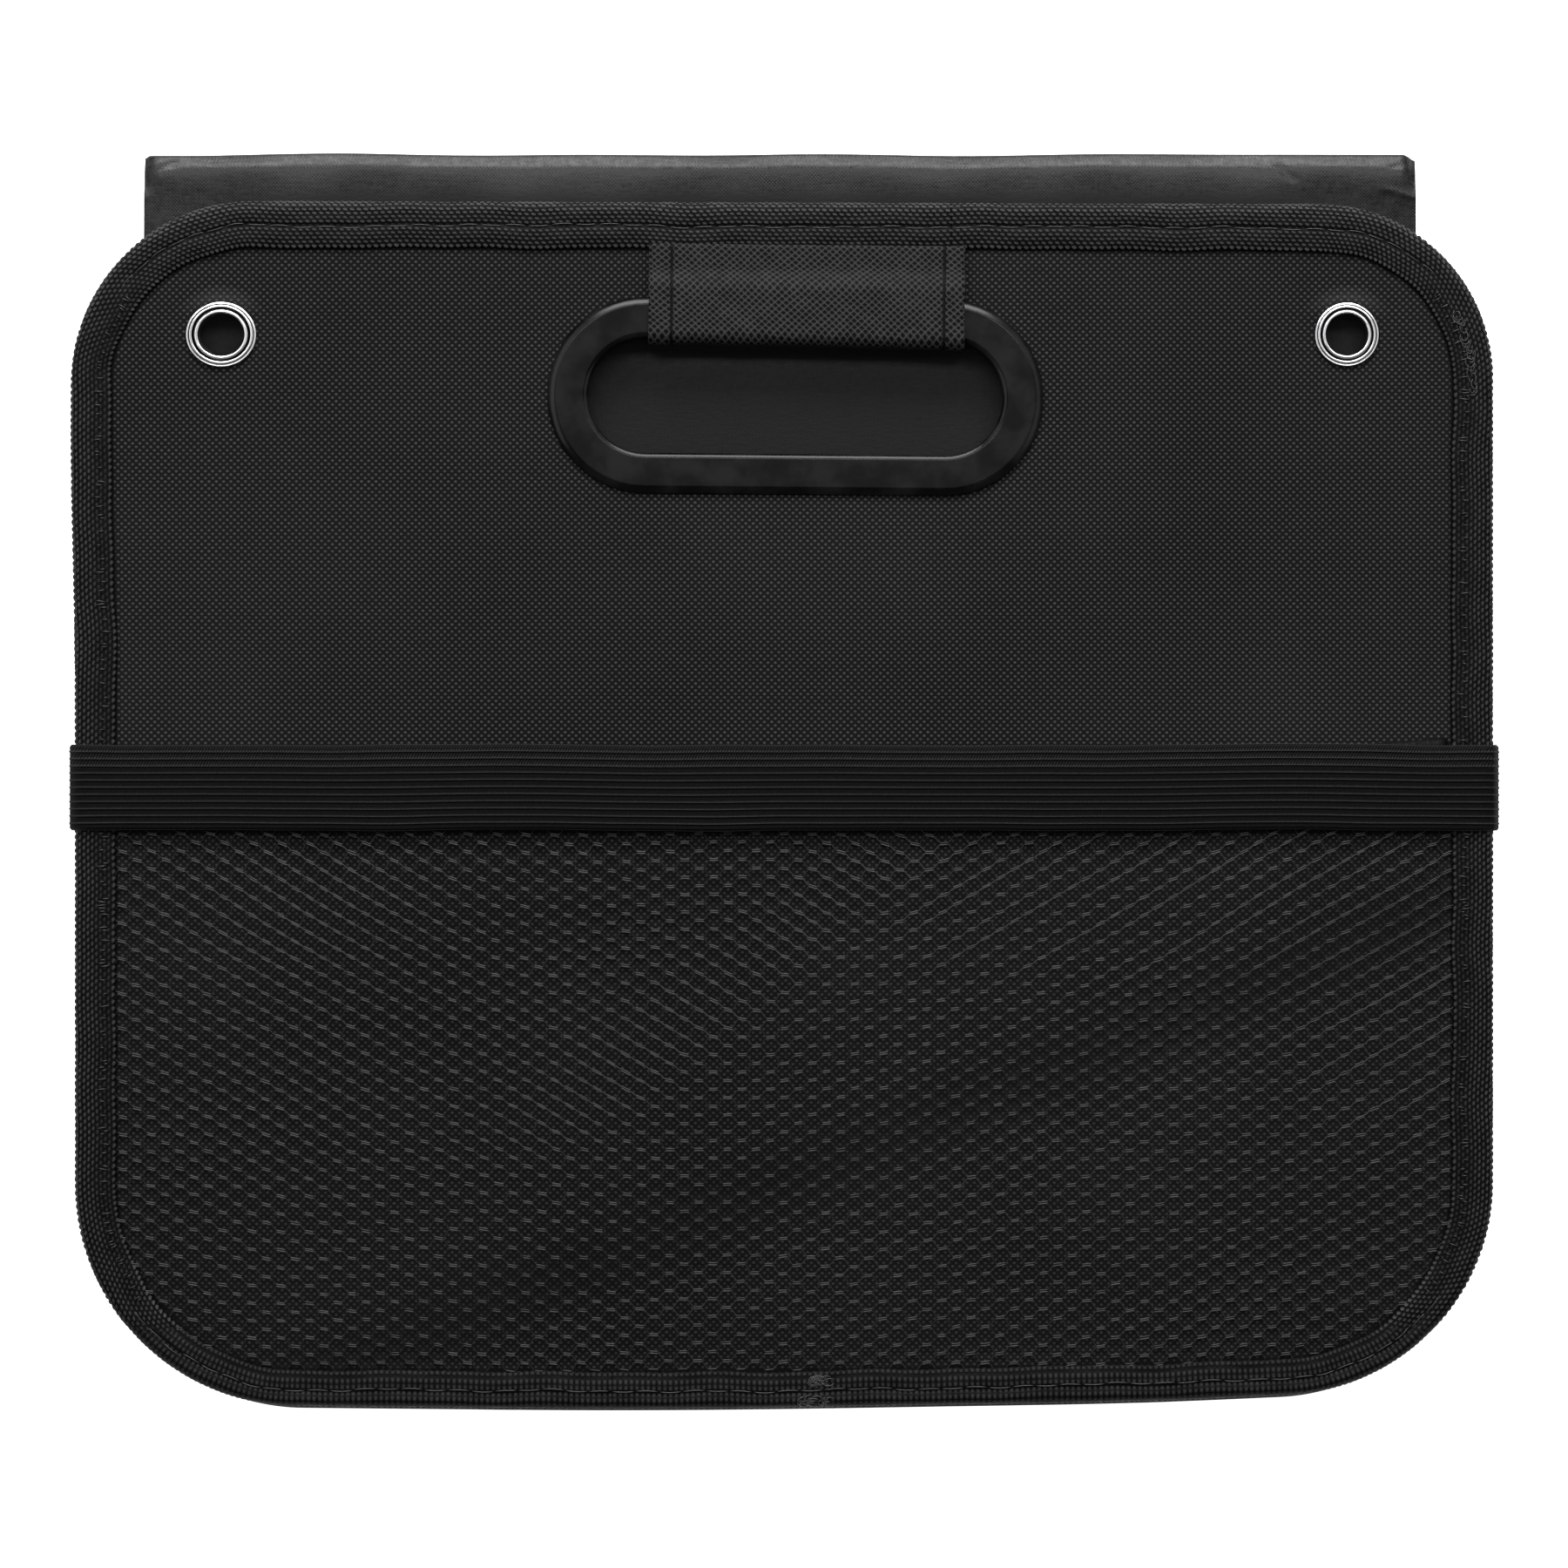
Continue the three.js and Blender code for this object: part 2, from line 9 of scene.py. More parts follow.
import bpy
import numpy as np
from bpy.props import FloatProperty, FloatVectorProperty, PointerProperty
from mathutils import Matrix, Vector


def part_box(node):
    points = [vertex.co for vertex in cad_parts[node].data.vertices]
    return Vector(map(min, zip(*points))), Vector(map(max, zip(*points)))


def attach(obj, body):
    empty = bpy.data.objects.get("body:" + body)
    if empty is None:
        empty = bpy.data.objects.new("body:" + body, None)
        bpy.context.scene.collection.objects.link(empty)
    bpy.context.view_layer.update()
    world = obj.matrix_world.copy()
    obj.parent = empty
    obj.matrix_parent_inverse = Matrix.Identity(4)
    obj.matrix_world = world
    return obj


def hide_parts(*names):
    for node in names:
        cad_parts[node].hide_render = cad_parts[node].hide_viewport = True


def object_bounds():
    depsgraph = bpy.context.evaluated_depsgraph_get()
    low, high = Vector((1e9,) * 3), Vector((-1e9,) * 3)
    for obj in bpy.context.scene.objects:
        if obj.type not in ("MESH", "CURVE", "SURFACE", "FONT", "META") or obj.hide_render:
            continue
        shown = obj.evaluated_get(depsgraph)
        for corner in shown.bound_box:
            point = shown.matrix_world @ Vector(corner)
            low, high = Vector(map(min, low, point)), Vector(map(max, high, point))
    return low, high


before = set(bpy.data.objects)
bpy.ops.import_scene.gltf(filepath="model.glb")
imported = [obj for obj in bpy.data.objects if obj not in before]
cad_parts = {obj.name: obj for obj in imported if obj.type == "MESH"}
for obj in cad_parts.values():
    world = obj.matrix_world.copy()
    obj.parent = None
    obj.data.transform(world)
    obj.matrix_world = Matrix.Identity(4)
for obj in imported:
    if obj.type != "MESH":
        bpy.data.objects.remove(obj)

bl_info = {
    "name": "Folded Boot Organiser",
    "version": (1, 0, 0),
    "blender": (4, 5, 0),
    "location": "3D View > Sidebar > Organiser",
    "description": "Dresses a folded boot organiser in its cloth, tape, net, elastic, plastic and metal",
    "category": "Add Mesh",
}

CAD_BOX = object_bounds()
MM = 0.001
SIDES = ("front", "rear")

# Heights of the plies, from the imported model. The pack's middle plane lies halfway up it.
MIDDLE = (CAD_BOX[0].z + CAD_BOX[1].z) / 2
LINING_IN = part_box("front_lining")[0].z
LINING_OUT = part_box("front_lining")[1].z
COVER_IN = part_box("front_cover")[0].z
COVER_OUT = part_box("front_cover")[1].z
TAPE_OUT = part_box("front_binding")[1].z
TAPE_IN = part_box("front_binding")[0].z
NET_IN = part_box("front_pocket_net")[0].z
RING_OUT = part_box("front_grip_frame")[1].z
RING_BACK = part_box("front_grip_frame")[0].z
SLEEVE_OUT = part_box("front_grip_sleeve")[1].z
SLEEVE_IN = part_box("front_grip_sleeve")[0].z
REAR_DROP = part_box("front_binding")[0].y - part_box("rear_binding")[0].y

# The end panel's outline: a sewn rectangle, a little out of square, with a bowed bottom edge.
HALF_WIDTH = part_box("front_binding")[1].x
BASE_RISE = 12.5 * MM
PANEL_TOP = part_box("base_envelope")[1].y - BASE_RISE
PANEL_HEIGHT = 298.5 * MM
PANEL_BOTTOM = PANEL_TOP - PANEL_HEIGHT
TOP_FALL = 1 * MM
BOTTOM_RISE_LEFT = 1.5 * MM
BOTTOM_RISE_RIGHT = 5.8 * MM
BOTTOM_LOWEST = -17 * MM
TOP_RIGHT_RADIUS = 42.8 * MM
TOP_LEFT_RADIUS = 43.8 * MM
BOTTOM_LEFT_RADIUS = 54.8 * MM
BOTTOM_RIGHT_RADIUS = 52 * MM
BOTTOM_BOW = 2500 * MM
TAPE_THICKNESS = 1.1 * MM
TAPE_ROUND = 2 * MM
PLY_INSET = 1.2 * MM

# The grip frame and its sleeve.
GRIP_X = 2.8 * MM
GRIP_Y = PANEL_TOP - 48.2 * MM
GRIP_TILT = math.radians(-0.5)
HOLE_LENGTH = 102.5 * MM
HOLE_HEIGHT = 28.5 * MM
RING_WIDTH = 10 * MM
COLLAR_WALL = 1.4 * MM
HOLE_CLEARANCE = 0.3 * MM
BEVEL_FALL = math.tan(math.radians(30))
INNER_BEVEL = 1.2 * MM
OUTER_BEVEL = 1.8 * MM
SLEEVE_WIDTH = 78.7 * MM
SLEEVE_X = 2.9 * MM
SLEEVE_HEM = 5.6 * MM
SLEEVE_CLOTH = 0.9 * MM
SLEEVE_HALF_GAP = (SLEEVE_OUT - RING_OUT - 0.25 * MM) / 2

# The eyelets, and the puckers that they draw in the cover.
EYELET_X = HALF_WIDTH - 36 * MM
EYELET_Y = PANEL_TOP - 32.9 * MM
EYELET_HOLE = 5.4 * MM
EYELET_WALL = 0.5 * MM
EYELET_RIM = 8.2 * MM
EYELET_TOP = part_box("front_eyelet_left")[1].z
EYELET_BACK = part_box("front_eyelet_left")[0].z
EYELET_THROAT = 0.42 * MM
GROOVE_RADIUS = EYELET_HOLE + 2 * EYELET_THROAT + 0.32 * MM
LINE_RADIUS = EYELET_RIM - 0.62 * MM
PUCKER_PITCH = 2.2 * MM

# The webbing tape: its seam, its woven knots, the ribs along the bottom edge and its lapped ends.
THREAD_INSET = 5.4 * MM
THREAD_SHIFT = 0.8 * MM
THREAD_RADIUS = 0.13 * MM
RELIEF_DEPTH = 0.4 * MM
KNOT_SLANT = -0.3
KNOT_HALF = 0.4
RIB_PITCH = 1.38 * MM
RIB_LENGTH = 1.5 * MM
RIBS_FROM = PANEL_BOTTOM + 24 * MM
RIBS_FULL = PANEL_BOTTOM + 17 * MM
SELVAGE_INSET = 0.5 * MM
TAPE_HEM = 8.2 * MM
TAPE_SUNK = 0.25 * MM
LAP_START = -60 * MM
LAP_END = 12 * MM
LAP_RISE = 0.5 * MM

# The elastic band, and the pocket below it with the slanting trough in its slack net.
BAND_MIDDLE = PANEL_TOP - 144.4 * MM
BAND_RIBS = 12
STEPS_IN_RIB = 9
RIB_STEP = 1.7 * MM
POCKET_TOP = BAND_MIDDLE - 3 * MM
NET_EDGE = 9.3 * MM
NET_SLACK = 1.7 * MM
TROUGH_SLOPE = 0.42
TROUGH_FALL = 98 * MM


class OrganiserSizes(bpy.types.PropertyGroup):
    """Sizes of the cloth's details."""

    cover_yarn: FloatProperty(
        name="Cover yarn", description="Distance between the yarns of the cover cloth",
        default=0.87 * MM, precision=5, unit="LENGTH")
    nylon_yarn: FloatProperty(
        name="Nylon yarn", description="Distance between the yarns of the nylon",
        default=0.42 * MM, precision=5, unit="LENGTH")
    tape_knot_length: FloatProperty(
        name="Tape knot length", description="Length of one woven knot along the webbing tape",
        default=1.69 * MM, precision=5, unit="LENGTH")
    tape_knot_width: FloatProperty(
        name="Tape knot width", description="Width of one woven knot across the webbing tape",
        default=1.0 * MM, precision=5, unit="LENGTH")
    stitch_length: FloatProperty(
        name="Stitch", description="Length of one stitch of the tape's seam, with its gap",
        default=5.8 * MM, precision=5, unit="LENGTH")
    net_cell_width: FloatProperty(
        name="Net cell width", description="Distance between the net's cells across the pocket",
        default=7.1 * MM, precision=5, unit="LENGTH")
    net_cell_height: FloatProperty(
        name="Net cell height", description="Distance between the net's cells up the pocket",
        default=4.35 * MM, precision=5, unit="LENGTH")
    band_width: FloatProperty(
        name="Band width", description="Width of the elastic band",
        default=21.1 * MM, precision=5, unit="LENGTH")


def colour_property(name, description, default):
    return FloatVectorProperty(name=name, description=description, default=default, subtype="COLOR",
                               size=3, min=0, max=1)


class OrganiserColours(bpy.types.PropertyGroup):
    """Colours of the materials."""

    cover: colour_property("Cover", "The coarse cover cloth", (0.0064, 0.0064, 0.0066))
    nylon: colour_property("Nylon", "The base, floor and walls", (0.0022, 0.0022, 0.0023))
    tape: colour_property("Tape", "The webbing tape", (0.0074, 0.0074, 0.0076))
    sleeve: colour_property("Sleeve", "The grip's cloth sleeve", (0.0085, 0.0085, 0.0088))
    plastic: colour_property("Plastic", "The grip frame", (0.0016, 0.0016, 0.0017))
    metal: colour_property("Metal", "The eyelets", (0.62, 0.62, 0.63))
    net: colour_property("Net", "The pocket's net", (0.006, 0.006, 0.0062))
    elastic: colour_property("Elastic", "The elastic band", (0.003, 0.003, 0.0031))
    thread: colour_property("Thread", "The sewing thread", (0.017, 0.017, 0.0175))
    board: colour_property("Board", "The stiff boards", (0.14, 0.12, 0.095))
    floor: colour_property("Floor", "The floor that the pack lies on", (0.9, 0.9, 0.9))


def sizes():
    return bpy.context.scene.organiser_sizes


def colours():
    return bpy.context.scene.organiser_colours


# Node materials

class Signal:
    """A number that a material works out at each point of the surface."""

    def __init__(self, tree, socket):
        self.tree = tree
        self.socket = socket

    def math(self, operation, *others):
        node = self.tree.nodes.new("ShaderNodeMath")
        node.operation = operation
        for place, value in enumerate((self, *others)):
            if isinstance(value, Signal):
                self.tree.links.new(value.socket, node.inputs[place])
            else:
                node.inputs[place].default_value = value
        return Signal(self.tree, node.outputs[0])

    def __add__(self, other):
        return self.math("ADD", other)

    def __sub__(self, other):
        return self.math("SUBTRACT", other)

    def __mul__(self, other):
        return self.math("MULTIPLY", other)

    def __truediv__(self, other):
        return self.math("DIVIDE", other)

    def wave(self):
        return self.math("SINE")

    def size(self):
        return self.math("ABSOLUTE")

    def floor(self):
        return self.math("FLOOR")

    def fraction(self):
        return self.math("FRACT")

    def power(self, exponent):
        return self.math("POWER", exponent)

    def highest(self, other):
        return self.math("MAXIMUM", other)

    def rest(self):
        """What is left of 1."""
        return self * -1.0 + 1.0

    def ramp(self, low, high):
        node = self.tree.nodes.new("ShaderNodeMapRange")
        node.interpolation_type = "SMOOTHSTEP"
        self.tree.links.new(self.socket, node.inputs["Value"])
        node.inputs["From Min"].default_value = low
        node.inputs["From Max"].default_value = high
        return Signal(self.tree, node.outputs["Result"])


class Finish:
    """One procedural material, built from signals."""

    def __init__(self, name):
        self.material = bpy.data.materials.new(name)
        self.material.use_nodes = True
        self.tree = self.material.node_tree
        self.shader = self.tree.nodes["Principled BSDF"]

    def place(self, source="Object"):
        """The point's three coordinates: in the object's frame, or on its unrolled surface."""
        coordinates = self.tree.nodes.new("ShaderNodeTexCoord")
        split = self.tree.nodes.new("ShaderNodeSeparateXYZ")
        self.tree.links.new(coordinates.outputs[source], split.inputs[0])
        return [Signal(self.tree, split.outputs[axis]) for axis in range(3)]

    def noise(self, scale, detail, stretch=(1, 1, 1)):
        """Unevenness in the object's frame, from 0 to 1."""
        coordinates = self.tree.nodes.new("ShaderNodeTexCoord")
        mapping = self.tree.nodes.new("ShaderNodeMapping")
        mapping.inputs["Scale"].default_value = stretch
        self.tree.links.new(coordinates.outputs["Object"], mapping.inputs["Vector"])
        node = self.tree.nodes.new("ShaderNodeTexNoise")
        node.inputs["Scale"].default_value = scale
        node.inputs["Detail"].default_value = detail
        self.tree.links.new(mapping.outputs[0], node.inputs["Vector"])
        return Signal(self.tree, node.outputs["Fac"])

    def set(self, **values):
        for name, value in values.items():
            self.shader.inputs[name.replace("_", " ")].default_value = value
        return self

    def colour(self, signal, low, high):
        mix = self.tree.nodes.new("ShaderNodeMix")
        mix.data_type = "RGBA"
        self.tree.links.new(signal.socket, mix.inputs[0])
        mix.inputs[6].default_value = (*low, 1)
        mix.inputs[7].default_value = (*high, 1)
        self.tree.links.new(mix.outputs[2], self.shader.inputs["Base Color"])
        return self

    def roughness(self, signal):
        self.tree.links.new(signal.socket, self.shader.inputs["Roughness"])
        return self

    def bump(self, signal, depth):
        node = self.tree.nodes.new("ShaderNodeBump")
        node.inputs["Strength"].default_value = 1.0
        node.inputs["Distance"].default_value = depth
        self.tree.links.new(signal.socket, node.inputs["Height"])
        self.tree.links.new(node.outputs[0], self.shader.inputs["Normal"])
        return self


def shade(colour, factor):
    return tuple(min(1.0, channel * factor) for channel in colour)


def plain_weave(across, along, yarn):
    """Height of a plain weave: the yarns pass over each other in a staggered pattern of dots."""
    return (across * (math.pi / yarn)).wave() * (along * (math.pi / yarn)).wave()


def diamond_lattice(across, along, rise, fall):
    """Height of crossed slanting ridges, with a pit in the middle of each diamond."""
    up = (across * (math.pi / rise[0]) + along * (math.pi / rise[1])).wave().size()
    down = (across * (math.pi / fall[0]) - along * (math.pi / fall[1])).wave().size()
    return (up * down).power(0.7).rest()


def bead_rows(along, across, length, width, half_length, half_width, slant=0.0):
    """Height of staggered rows of oval beads, from 0 between them to 1 on their tops."""
    row = (across / width).floor()
    v = (across / width).fraction() - 0.5
    u = (along / length + (row * 0.5).fraction()).fraction() - 0.5 + v * slant
    oval = (u * u) * (-1 / half_length**2) + (v * v) * (-1 / half_width**2) + 1
    return oval.highest(0).power(0.6)


def cover_cloth(name, colour, yarn, rough=0.62):
    """Coarse cloth whose yarns show as beads in level rows.

    It has painted shade under the pocket's net, where its weave is also flatter, and deeper painted shade in
    the net's trough; a painted shadow beside the tape and under the band; and a painted highlight above the
    eyelets.
    Its unrolled coordinate tells how far the tape is."""
    finish = Finish(name)
    from_tape, _, _ = finish.place("UV")
    x, y, _ = finish.place()
    drift = finish.noise(9, 2)
    beads = bead_rows(x + drift * (0.8 * MM), y + drift * (0.6 * MM), 2.06 * yarn, 0.99 * yarn, 0.25, 0.46)
    irregular = finish.noise(500, 1, stretch=(0.4, 1, 1))
    worn = finish.noise(14, 3)
    # Painted shade under the pocket's net, and deeper painted shade in its slanting trough.
    under_net = y.ramp(POCKET_TOP, POCKET_TOP - 3 * MM)
    trough = (y - x * TROUGH_SLOPE + TROUGH_FALL).size().ramp(16 * MM, 2 * MM)
    from_eyelet_x, from_eyelet_y = x.size() - EYELET_X, y - EYELET_Y
    from_eyelet = (from_eyelet_x * from_eyelet_x + from_eyelet_y * from_eyelet_y).power(0.5)
    # A painted highlight on the cover above each eyelet.
    painted_eyelet_highlight = from_eyelet.ramp(EYELET_RIM + 5 * MM, EYELET_RIM + 1 * MM) * from_eyelet_y.ramp(4 * MM, 9 * MM)
    # A painted shadow under the band, and with it a painted contact shadow along the tape's edge.
    painted_band_shadow = y.ramp(BAND_MIDDLE - 12.6 * MM, BAND_MIDDLE - 11 * MM) * under_net
    painted_contact_shadow = from_tape.ramp(0.8 * MM, 0.3 * MM).highest(painted_band_shadow)
    height = beads * (irregular * 0.7 + 0.55) * (under_net * -0.36 + 1)
    height = height * (under_net * trough * -0.3 + 1) + painted_eyelet_highlight * 0.3
    height = height * (painted_contact_shadow * -0.8 + 1) - painted_contact_shadow * 0.08
    finish.colour((height + worn * 0.3).ramp(-0.05, 1.4), shade(colour, 0.2), shade(colour, 4.65))
    finish.roughness(height.ramp(-0.3, 1.0) * (rough - 0.9) + 0.9)
    finish.bump(height, 0.14 * MM)
    finish.set(Specular_IOR_Level=0.06)
    return finish.material


def sleeve_cloth():
    finish = Finish("sleeve")
    across, along, _ = finish.place("UV")
    drift = finish.noise(60, 2)
    lattice = diamond_lattice(across + drift * (1.2 * MM), along + drift * (0.6 * MM), (1.95 * MM, 1.72 * MM),
                              (1.73 * MM, 1.56 * MM))
    fuzz = finish.noise(1500, 2)
    patchy = finish.noise(350, 1)
    hem_seam = (across.size() - (SLEEVE_WIDTH / 2 - SLEEVE_HEM)).size().ramp(0.15 * MM, 0.55 * MM)
    height = (lattice + fuzz * 0.3 + patchy * 0.45) * (hem_seam * 0.7 + 0.3)
    finish.colour(height.ramp(0.58, 1.18), shade(colours().sleeve, 0.01), shade(colours().sleeve, 2.5))
    finish.roughness(fuzz * 0.2 + 0.6)
    finish.bump(height, 0.2 * MM)
    finish.set(Specular_IOR_Level=0.08)
    return finish.material


def nylon_cloth():
    """Fine silky nylon, mottled by its uneven threads, and shaded above the tape and under the grip."""
    finish = Finish("nylon")
    x, y, z = finish.place()
    weave = plain_weave(x, y + z, sizes().nylon_yarn)
    slubs = finish.noise(1300, 1, stretch=(0.3, 1, 1)) * 0.5
    slubs = slubs + finish.noise(1300, 1, stretch=(1, 0.35, 1)) * 0.5
    faded = finish.noise(18, 3)
    beside_tape = y.ramp(PANEL_TOP + 5 * MM, PANEL_TOP) * x.size().ramp(150 * MM, 115 * MM)
    under_grip = y.ramp(GRIP_Y + 6.5 * MM, GRIP_Y + 9.5 * MM) * y.ramp(GRIP_Y + 25 * MM, GRIP_Y + 20 * MM)
    shaded = beside_tape.highest(under_grip)
    height = weave * 0.25 + slubs * 1.5
    light = (height + faded).ramp(0.7, 1.7) * (shaded * -0.75 + 1)
    finish.colour(light, shade(colours().nylon, 0.05), shade(colours().nylon, 3.5))
    finish.roughness(slubs.ramp(0.1, 0.9) * 0.24 + shaded * 0.25 + 0.25)
    finish.bump(height, 0.045 * MM)
    finish.set(Specular_IOR_Level=0.155)
    return finish.material


def webbing():
    """Woven tape: slanted knots, and along the bottom edge short ribs with a beaded selvage."""
    finish = Finish("webbing")
    along, across, _ = finish.place("UV")
    x, y, _ = finish.place()
    knot = bead_rows(along, across, sizes().tape_knot_length, sizes().tape_knot_width,
                     KNOT_HALF, KNOT_HALF, KNOT_SLANT)
    beat = (along * (math.pi / RIB_PITCH)).wave().size()
    rib = beat * ((across * (math.pi / RIB_LENGTH)).wave().size() * 0.7 + 0.3)
    rib = rib * across.ramp(1.2 * MM, 1.7 * MM)
    beads = beat * (across - SELVAGE_INSET).size().ramp(0.42 * MM, 0.15 * MM)
    at_bottom = y.ramp(RIBS_FROM, RIBS_FULL)
    fuzz = finish.noise(1300, 2)
    blotch = finish.noise(140, 2)
    on_side = x.size().ramp(155 * MM, 164 * MM)
    dull = on_side * (across + blotch * (5 * MM)).ramp(8.6 * MM, 5.4 * MM)
    from_thread = (across + at_bottom * THREAD_SHIFT - THREAD_INSET).size()
    # Painted shade along the seam's groove on the top and bottom tape; it also deepens the bump there.
    groove = from_thread.ramp(0.2 * MM, 0.6 * MM).highest(on_side)
    selvage = across.ramp(1.3 * MM, 0.8 * MM)
    # A painted highlight on the rolled outer edge of the top and side tape.
    rolled = across.ramp(8.2 * MM, 9.2 * MM) * at_bottom.rest()
    weave = knot * at_bottom.rest() + (rib * 0.75 + beads * 0.65) * at_bottom
    height = weave * (dull * -0.36 + 1) * (on_side * -0.08 + 1) * (selvage * at_bottom.rest() * 0.5 + 1)
    height = height * (rolled * 0.6 + 1) * (groove * 0.6 + 0.4)
    height = height + fuzz * 0.3
    finish.colour(height.ramp(0.26, 1.45), shade(colours().tape, 0.01), shade(colours().tape, 4.2))
    finish.roughness(fuzz.ramp(0.3, 0.7) * 0.2 + 0.5)
    finish.bump(height, 0.22 * MM)
    finish.set(Specular_IOR_Level=0.06)
    return finish.material


def moulded_plastic():
    finish = Finish("grip_plastic")
    grain = finish.noise(2600, 3)
    smears = finish.noise(110, 4)
    finish.colour(smears.ramp(0.35, 0.65), shade(colours().plastic, 0.2), shade(colours().plastic, 2.8))
    finish.roughness(grain * 0.05 + smears * 0.12 + 0.16)
    finish.bump(grain, 0.01 * MM)
    finish.set(Specular_IOR_Level=0.115)
    return finish.material


def plated_metal():
    """Plated metal with painted dark reflections in the eyelet's grooves and faint smears, whose radius its
    unrolled coordinate tells.
    """
    finish = Finish("eyelet_metal")
    radius, _, _ = finish.place("UV")
    smears = finish.noise(260, 4)
    pits = finish.noise(1800, 2)
    # Painted shade in the groove and along the outer line stands in for their dark reflections.
    groove = (radius - GROOVE_RADIUS).size().ramp(0.42 * MM, 0.22 * MM)
    line = (radius - LINE_RADIUS).size().ramp(0.26 * MM, 0.1 * MM)
    painted_groove_shade_and_smears = (groove * 0.95).highest(line * 0.55) + smears * 0.05
    finish.colour(painted_groove_shade_and_smears, shade(colours().metal, 1.1), shade(colours().metal, 0.03))
    finish.roughness(smears * 0.16 + 0.1)
    finish.bump(pits, 0.006 * MM)
    finish.set(Metallic=1.0)
    return finish.material


def net_yarn():
    """Yarn whose colour carries a painted highlight, which its unrolled coordinate tells."""
    finish = Finish("net_yarn")
    shine, _, _ = finish.place("UV")
    fibres = finish.noise(2200, 2, stretch=(1, 0.4, 1))
    finish.colour((fibres * 0.3 + shine).ramp(0.0, 1.3), shade(colours().net, 0.2), shade(colours().net, 5.0))
    finish.roughness(fibres * 0.2 + 0.36)
    finish.bump(fibres, 0.04 * MM)
    finish.set(Specular_IOR_Level=0.15)
    return finish.material


def elastic_weave():
    """Thin cords with a painted highlight, with ribs between them whose painted shadow darkens towards the
    cord above, and a brighter upper quarter of slanting weft."""
    finish = Finish("elastic")
    along, across, _ = finish.place("UV")
    up = (across / RIB_STEP).fraction()
    cord = (up - 0.5).size().ramp(0.4, 0.48)
    upper = across.ramp((BAND_RIBS - 3.6) * RIB_STEP, (BAND_RIBS - 3.2) * RIB_STEP)
    weft = (along * (2 * math.pi / (0.7 * MM)) + across * (2 * math.pi / (1.3 * MM))).wave()
    fuzz = finish.noise(1500, 2)
    # The cords' painted highlight, and the painted shadow under each cord.
    height = (weft * (upper * 0.3 + 0.12) + fuzz * 0.7) * (up * -0.75 + 1.1) + upper * 0.15 + cord * 0.9
    finish.colour(height.ramp(0.26, 1.36), shade(colours().elastic, 0.05), shade(colours().elastic, 6.4))
    finish.roughness(fuzz * 0.2 + 0.6)
    finish.bump(height, 0.1 * MM)
    finish.set(Specular_IOR_Level=0.06)
    return finish.material


def sewing_thread():
    finish = Finish("thread")
    twist = finish.noise(1600, 2, stretch=(0.5, 1, 1))
    finish.colour(twist, shade(colours().thread, 0.6), shade(colours().thread, 1.5))
    finish.roughness(twist * 0.2 + 0.3)
    finish.bump(twist, 0.05 * MM)
    finish.set(Specular_IOR_Level=0.3)
    return finish.material


def pressed_board():
    finish = Finish("board")
    fibres = finish.noise(300, 6, stretch=(1, 0.35, 1))
    finish.colour(fibres, shade(colours().board, 0.7), shade(colours().board, 1.25))
    finish.roughness(fibres * 0.1 + 0.82)
    finish.bump(fibres, 0.08 * MM)
    return finish.material


FINISHES = {
    "cover": lambda: cover_cloth("cover", colours().cover, sizes().cover_yarn),
    "lining": lambda: cover_cloth("lining", colours().cover, sizes().nylon_yarn, 0.7),
    "sleeve": sleeve_cloth,
    "nylon": nylon_cloth,
    "webbing": webbing,
    "plastic": moulded_plastic,
    "metal": plated_metal,
    "net": net_yarn,
    "elastic": elastic_weave,
    "thread": sewing_thread,
    "board": pressed_board,
}


def finish_named(name):
    material = bpy.data.materials.get("organiser_" + name)
    if material is None:
        material = FINISHES[name]()
        material.name = "organiser_" + name
    return material


# Meshes

def smooth_step(value, low, high):
    t = np.clip((value - low) / (high - low), 0, 1)
    return t * t * (3 - 2 * t)


def bell(value, width):
    """A soft bump: 1 at zero, fading over the width."""
    return np.exp(-((value / width) ** 2))


def waviness(x, y, wavelength, seed):
    """A smooth, repeatable unevenness of about 1 in size."""
    total = np.zeros(np.broadcast(x, y).shape)
    for k in range(5):
        angle = seed * 1.7 + k * 2.4
        pace = 2 * math.pi / wavelength * (0.6 + 0.27 * k)
        total += np.sin(pace * (x * math.cos(angle) + y * math.sin(angle)) + seed * 3.1 + k * k)
    return total / 3


def piece(name, points, faces, finish, replaces=(), uv=None, side="front", thickness=None):
    """A mesh object that rides on the pack. Its points are given for the front and mirrored for the rear."""
    points = np.array(points, float).reshape(-1, 3)
    if side == "rear":
        points[:, 1] -= REAR_DROP
        points[:, 2] = 2 * MIDDLE - points[:, 2]
        faces = [tuple(reversed(face)) for face in faces]
        if uv is not None:
            uv = [tuple(reversed(corners)) for corners in uv]
    mesh = bpy.data.meshes.new(name)
    mesh.from_pydata(points.tolist(), [], [tuple(int(i) for i in face) for face in faces])
    if uv is not None:
        layer = mesh.uv_layers.new(name="unrolled")
        layer.data.foreach_set("uv", np.array([c for corners in uv for c in corners], float).ravel())
    if mesh.validate():
        raise RuntimeError(f"{name} has faces that aren't valid")
    mesh.polygons.foreach_set("use_smooth", [True] * len(mesh.polygons))
    mesh.materials.append(finish_named(finish))
    made = bpy.data.objects.new(name, mesh)
    bpy.context.scene.collection.objects.link(made)
    if thickness:
        plies = made.modifiers.new("thickness", "SOLIDIFY")
        plies.thickness = thickness
        plies.offset = -1
        plies.use_even_offset = True
    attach(made, "root")
    if replaces:
        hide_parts(*replaces)
    return made


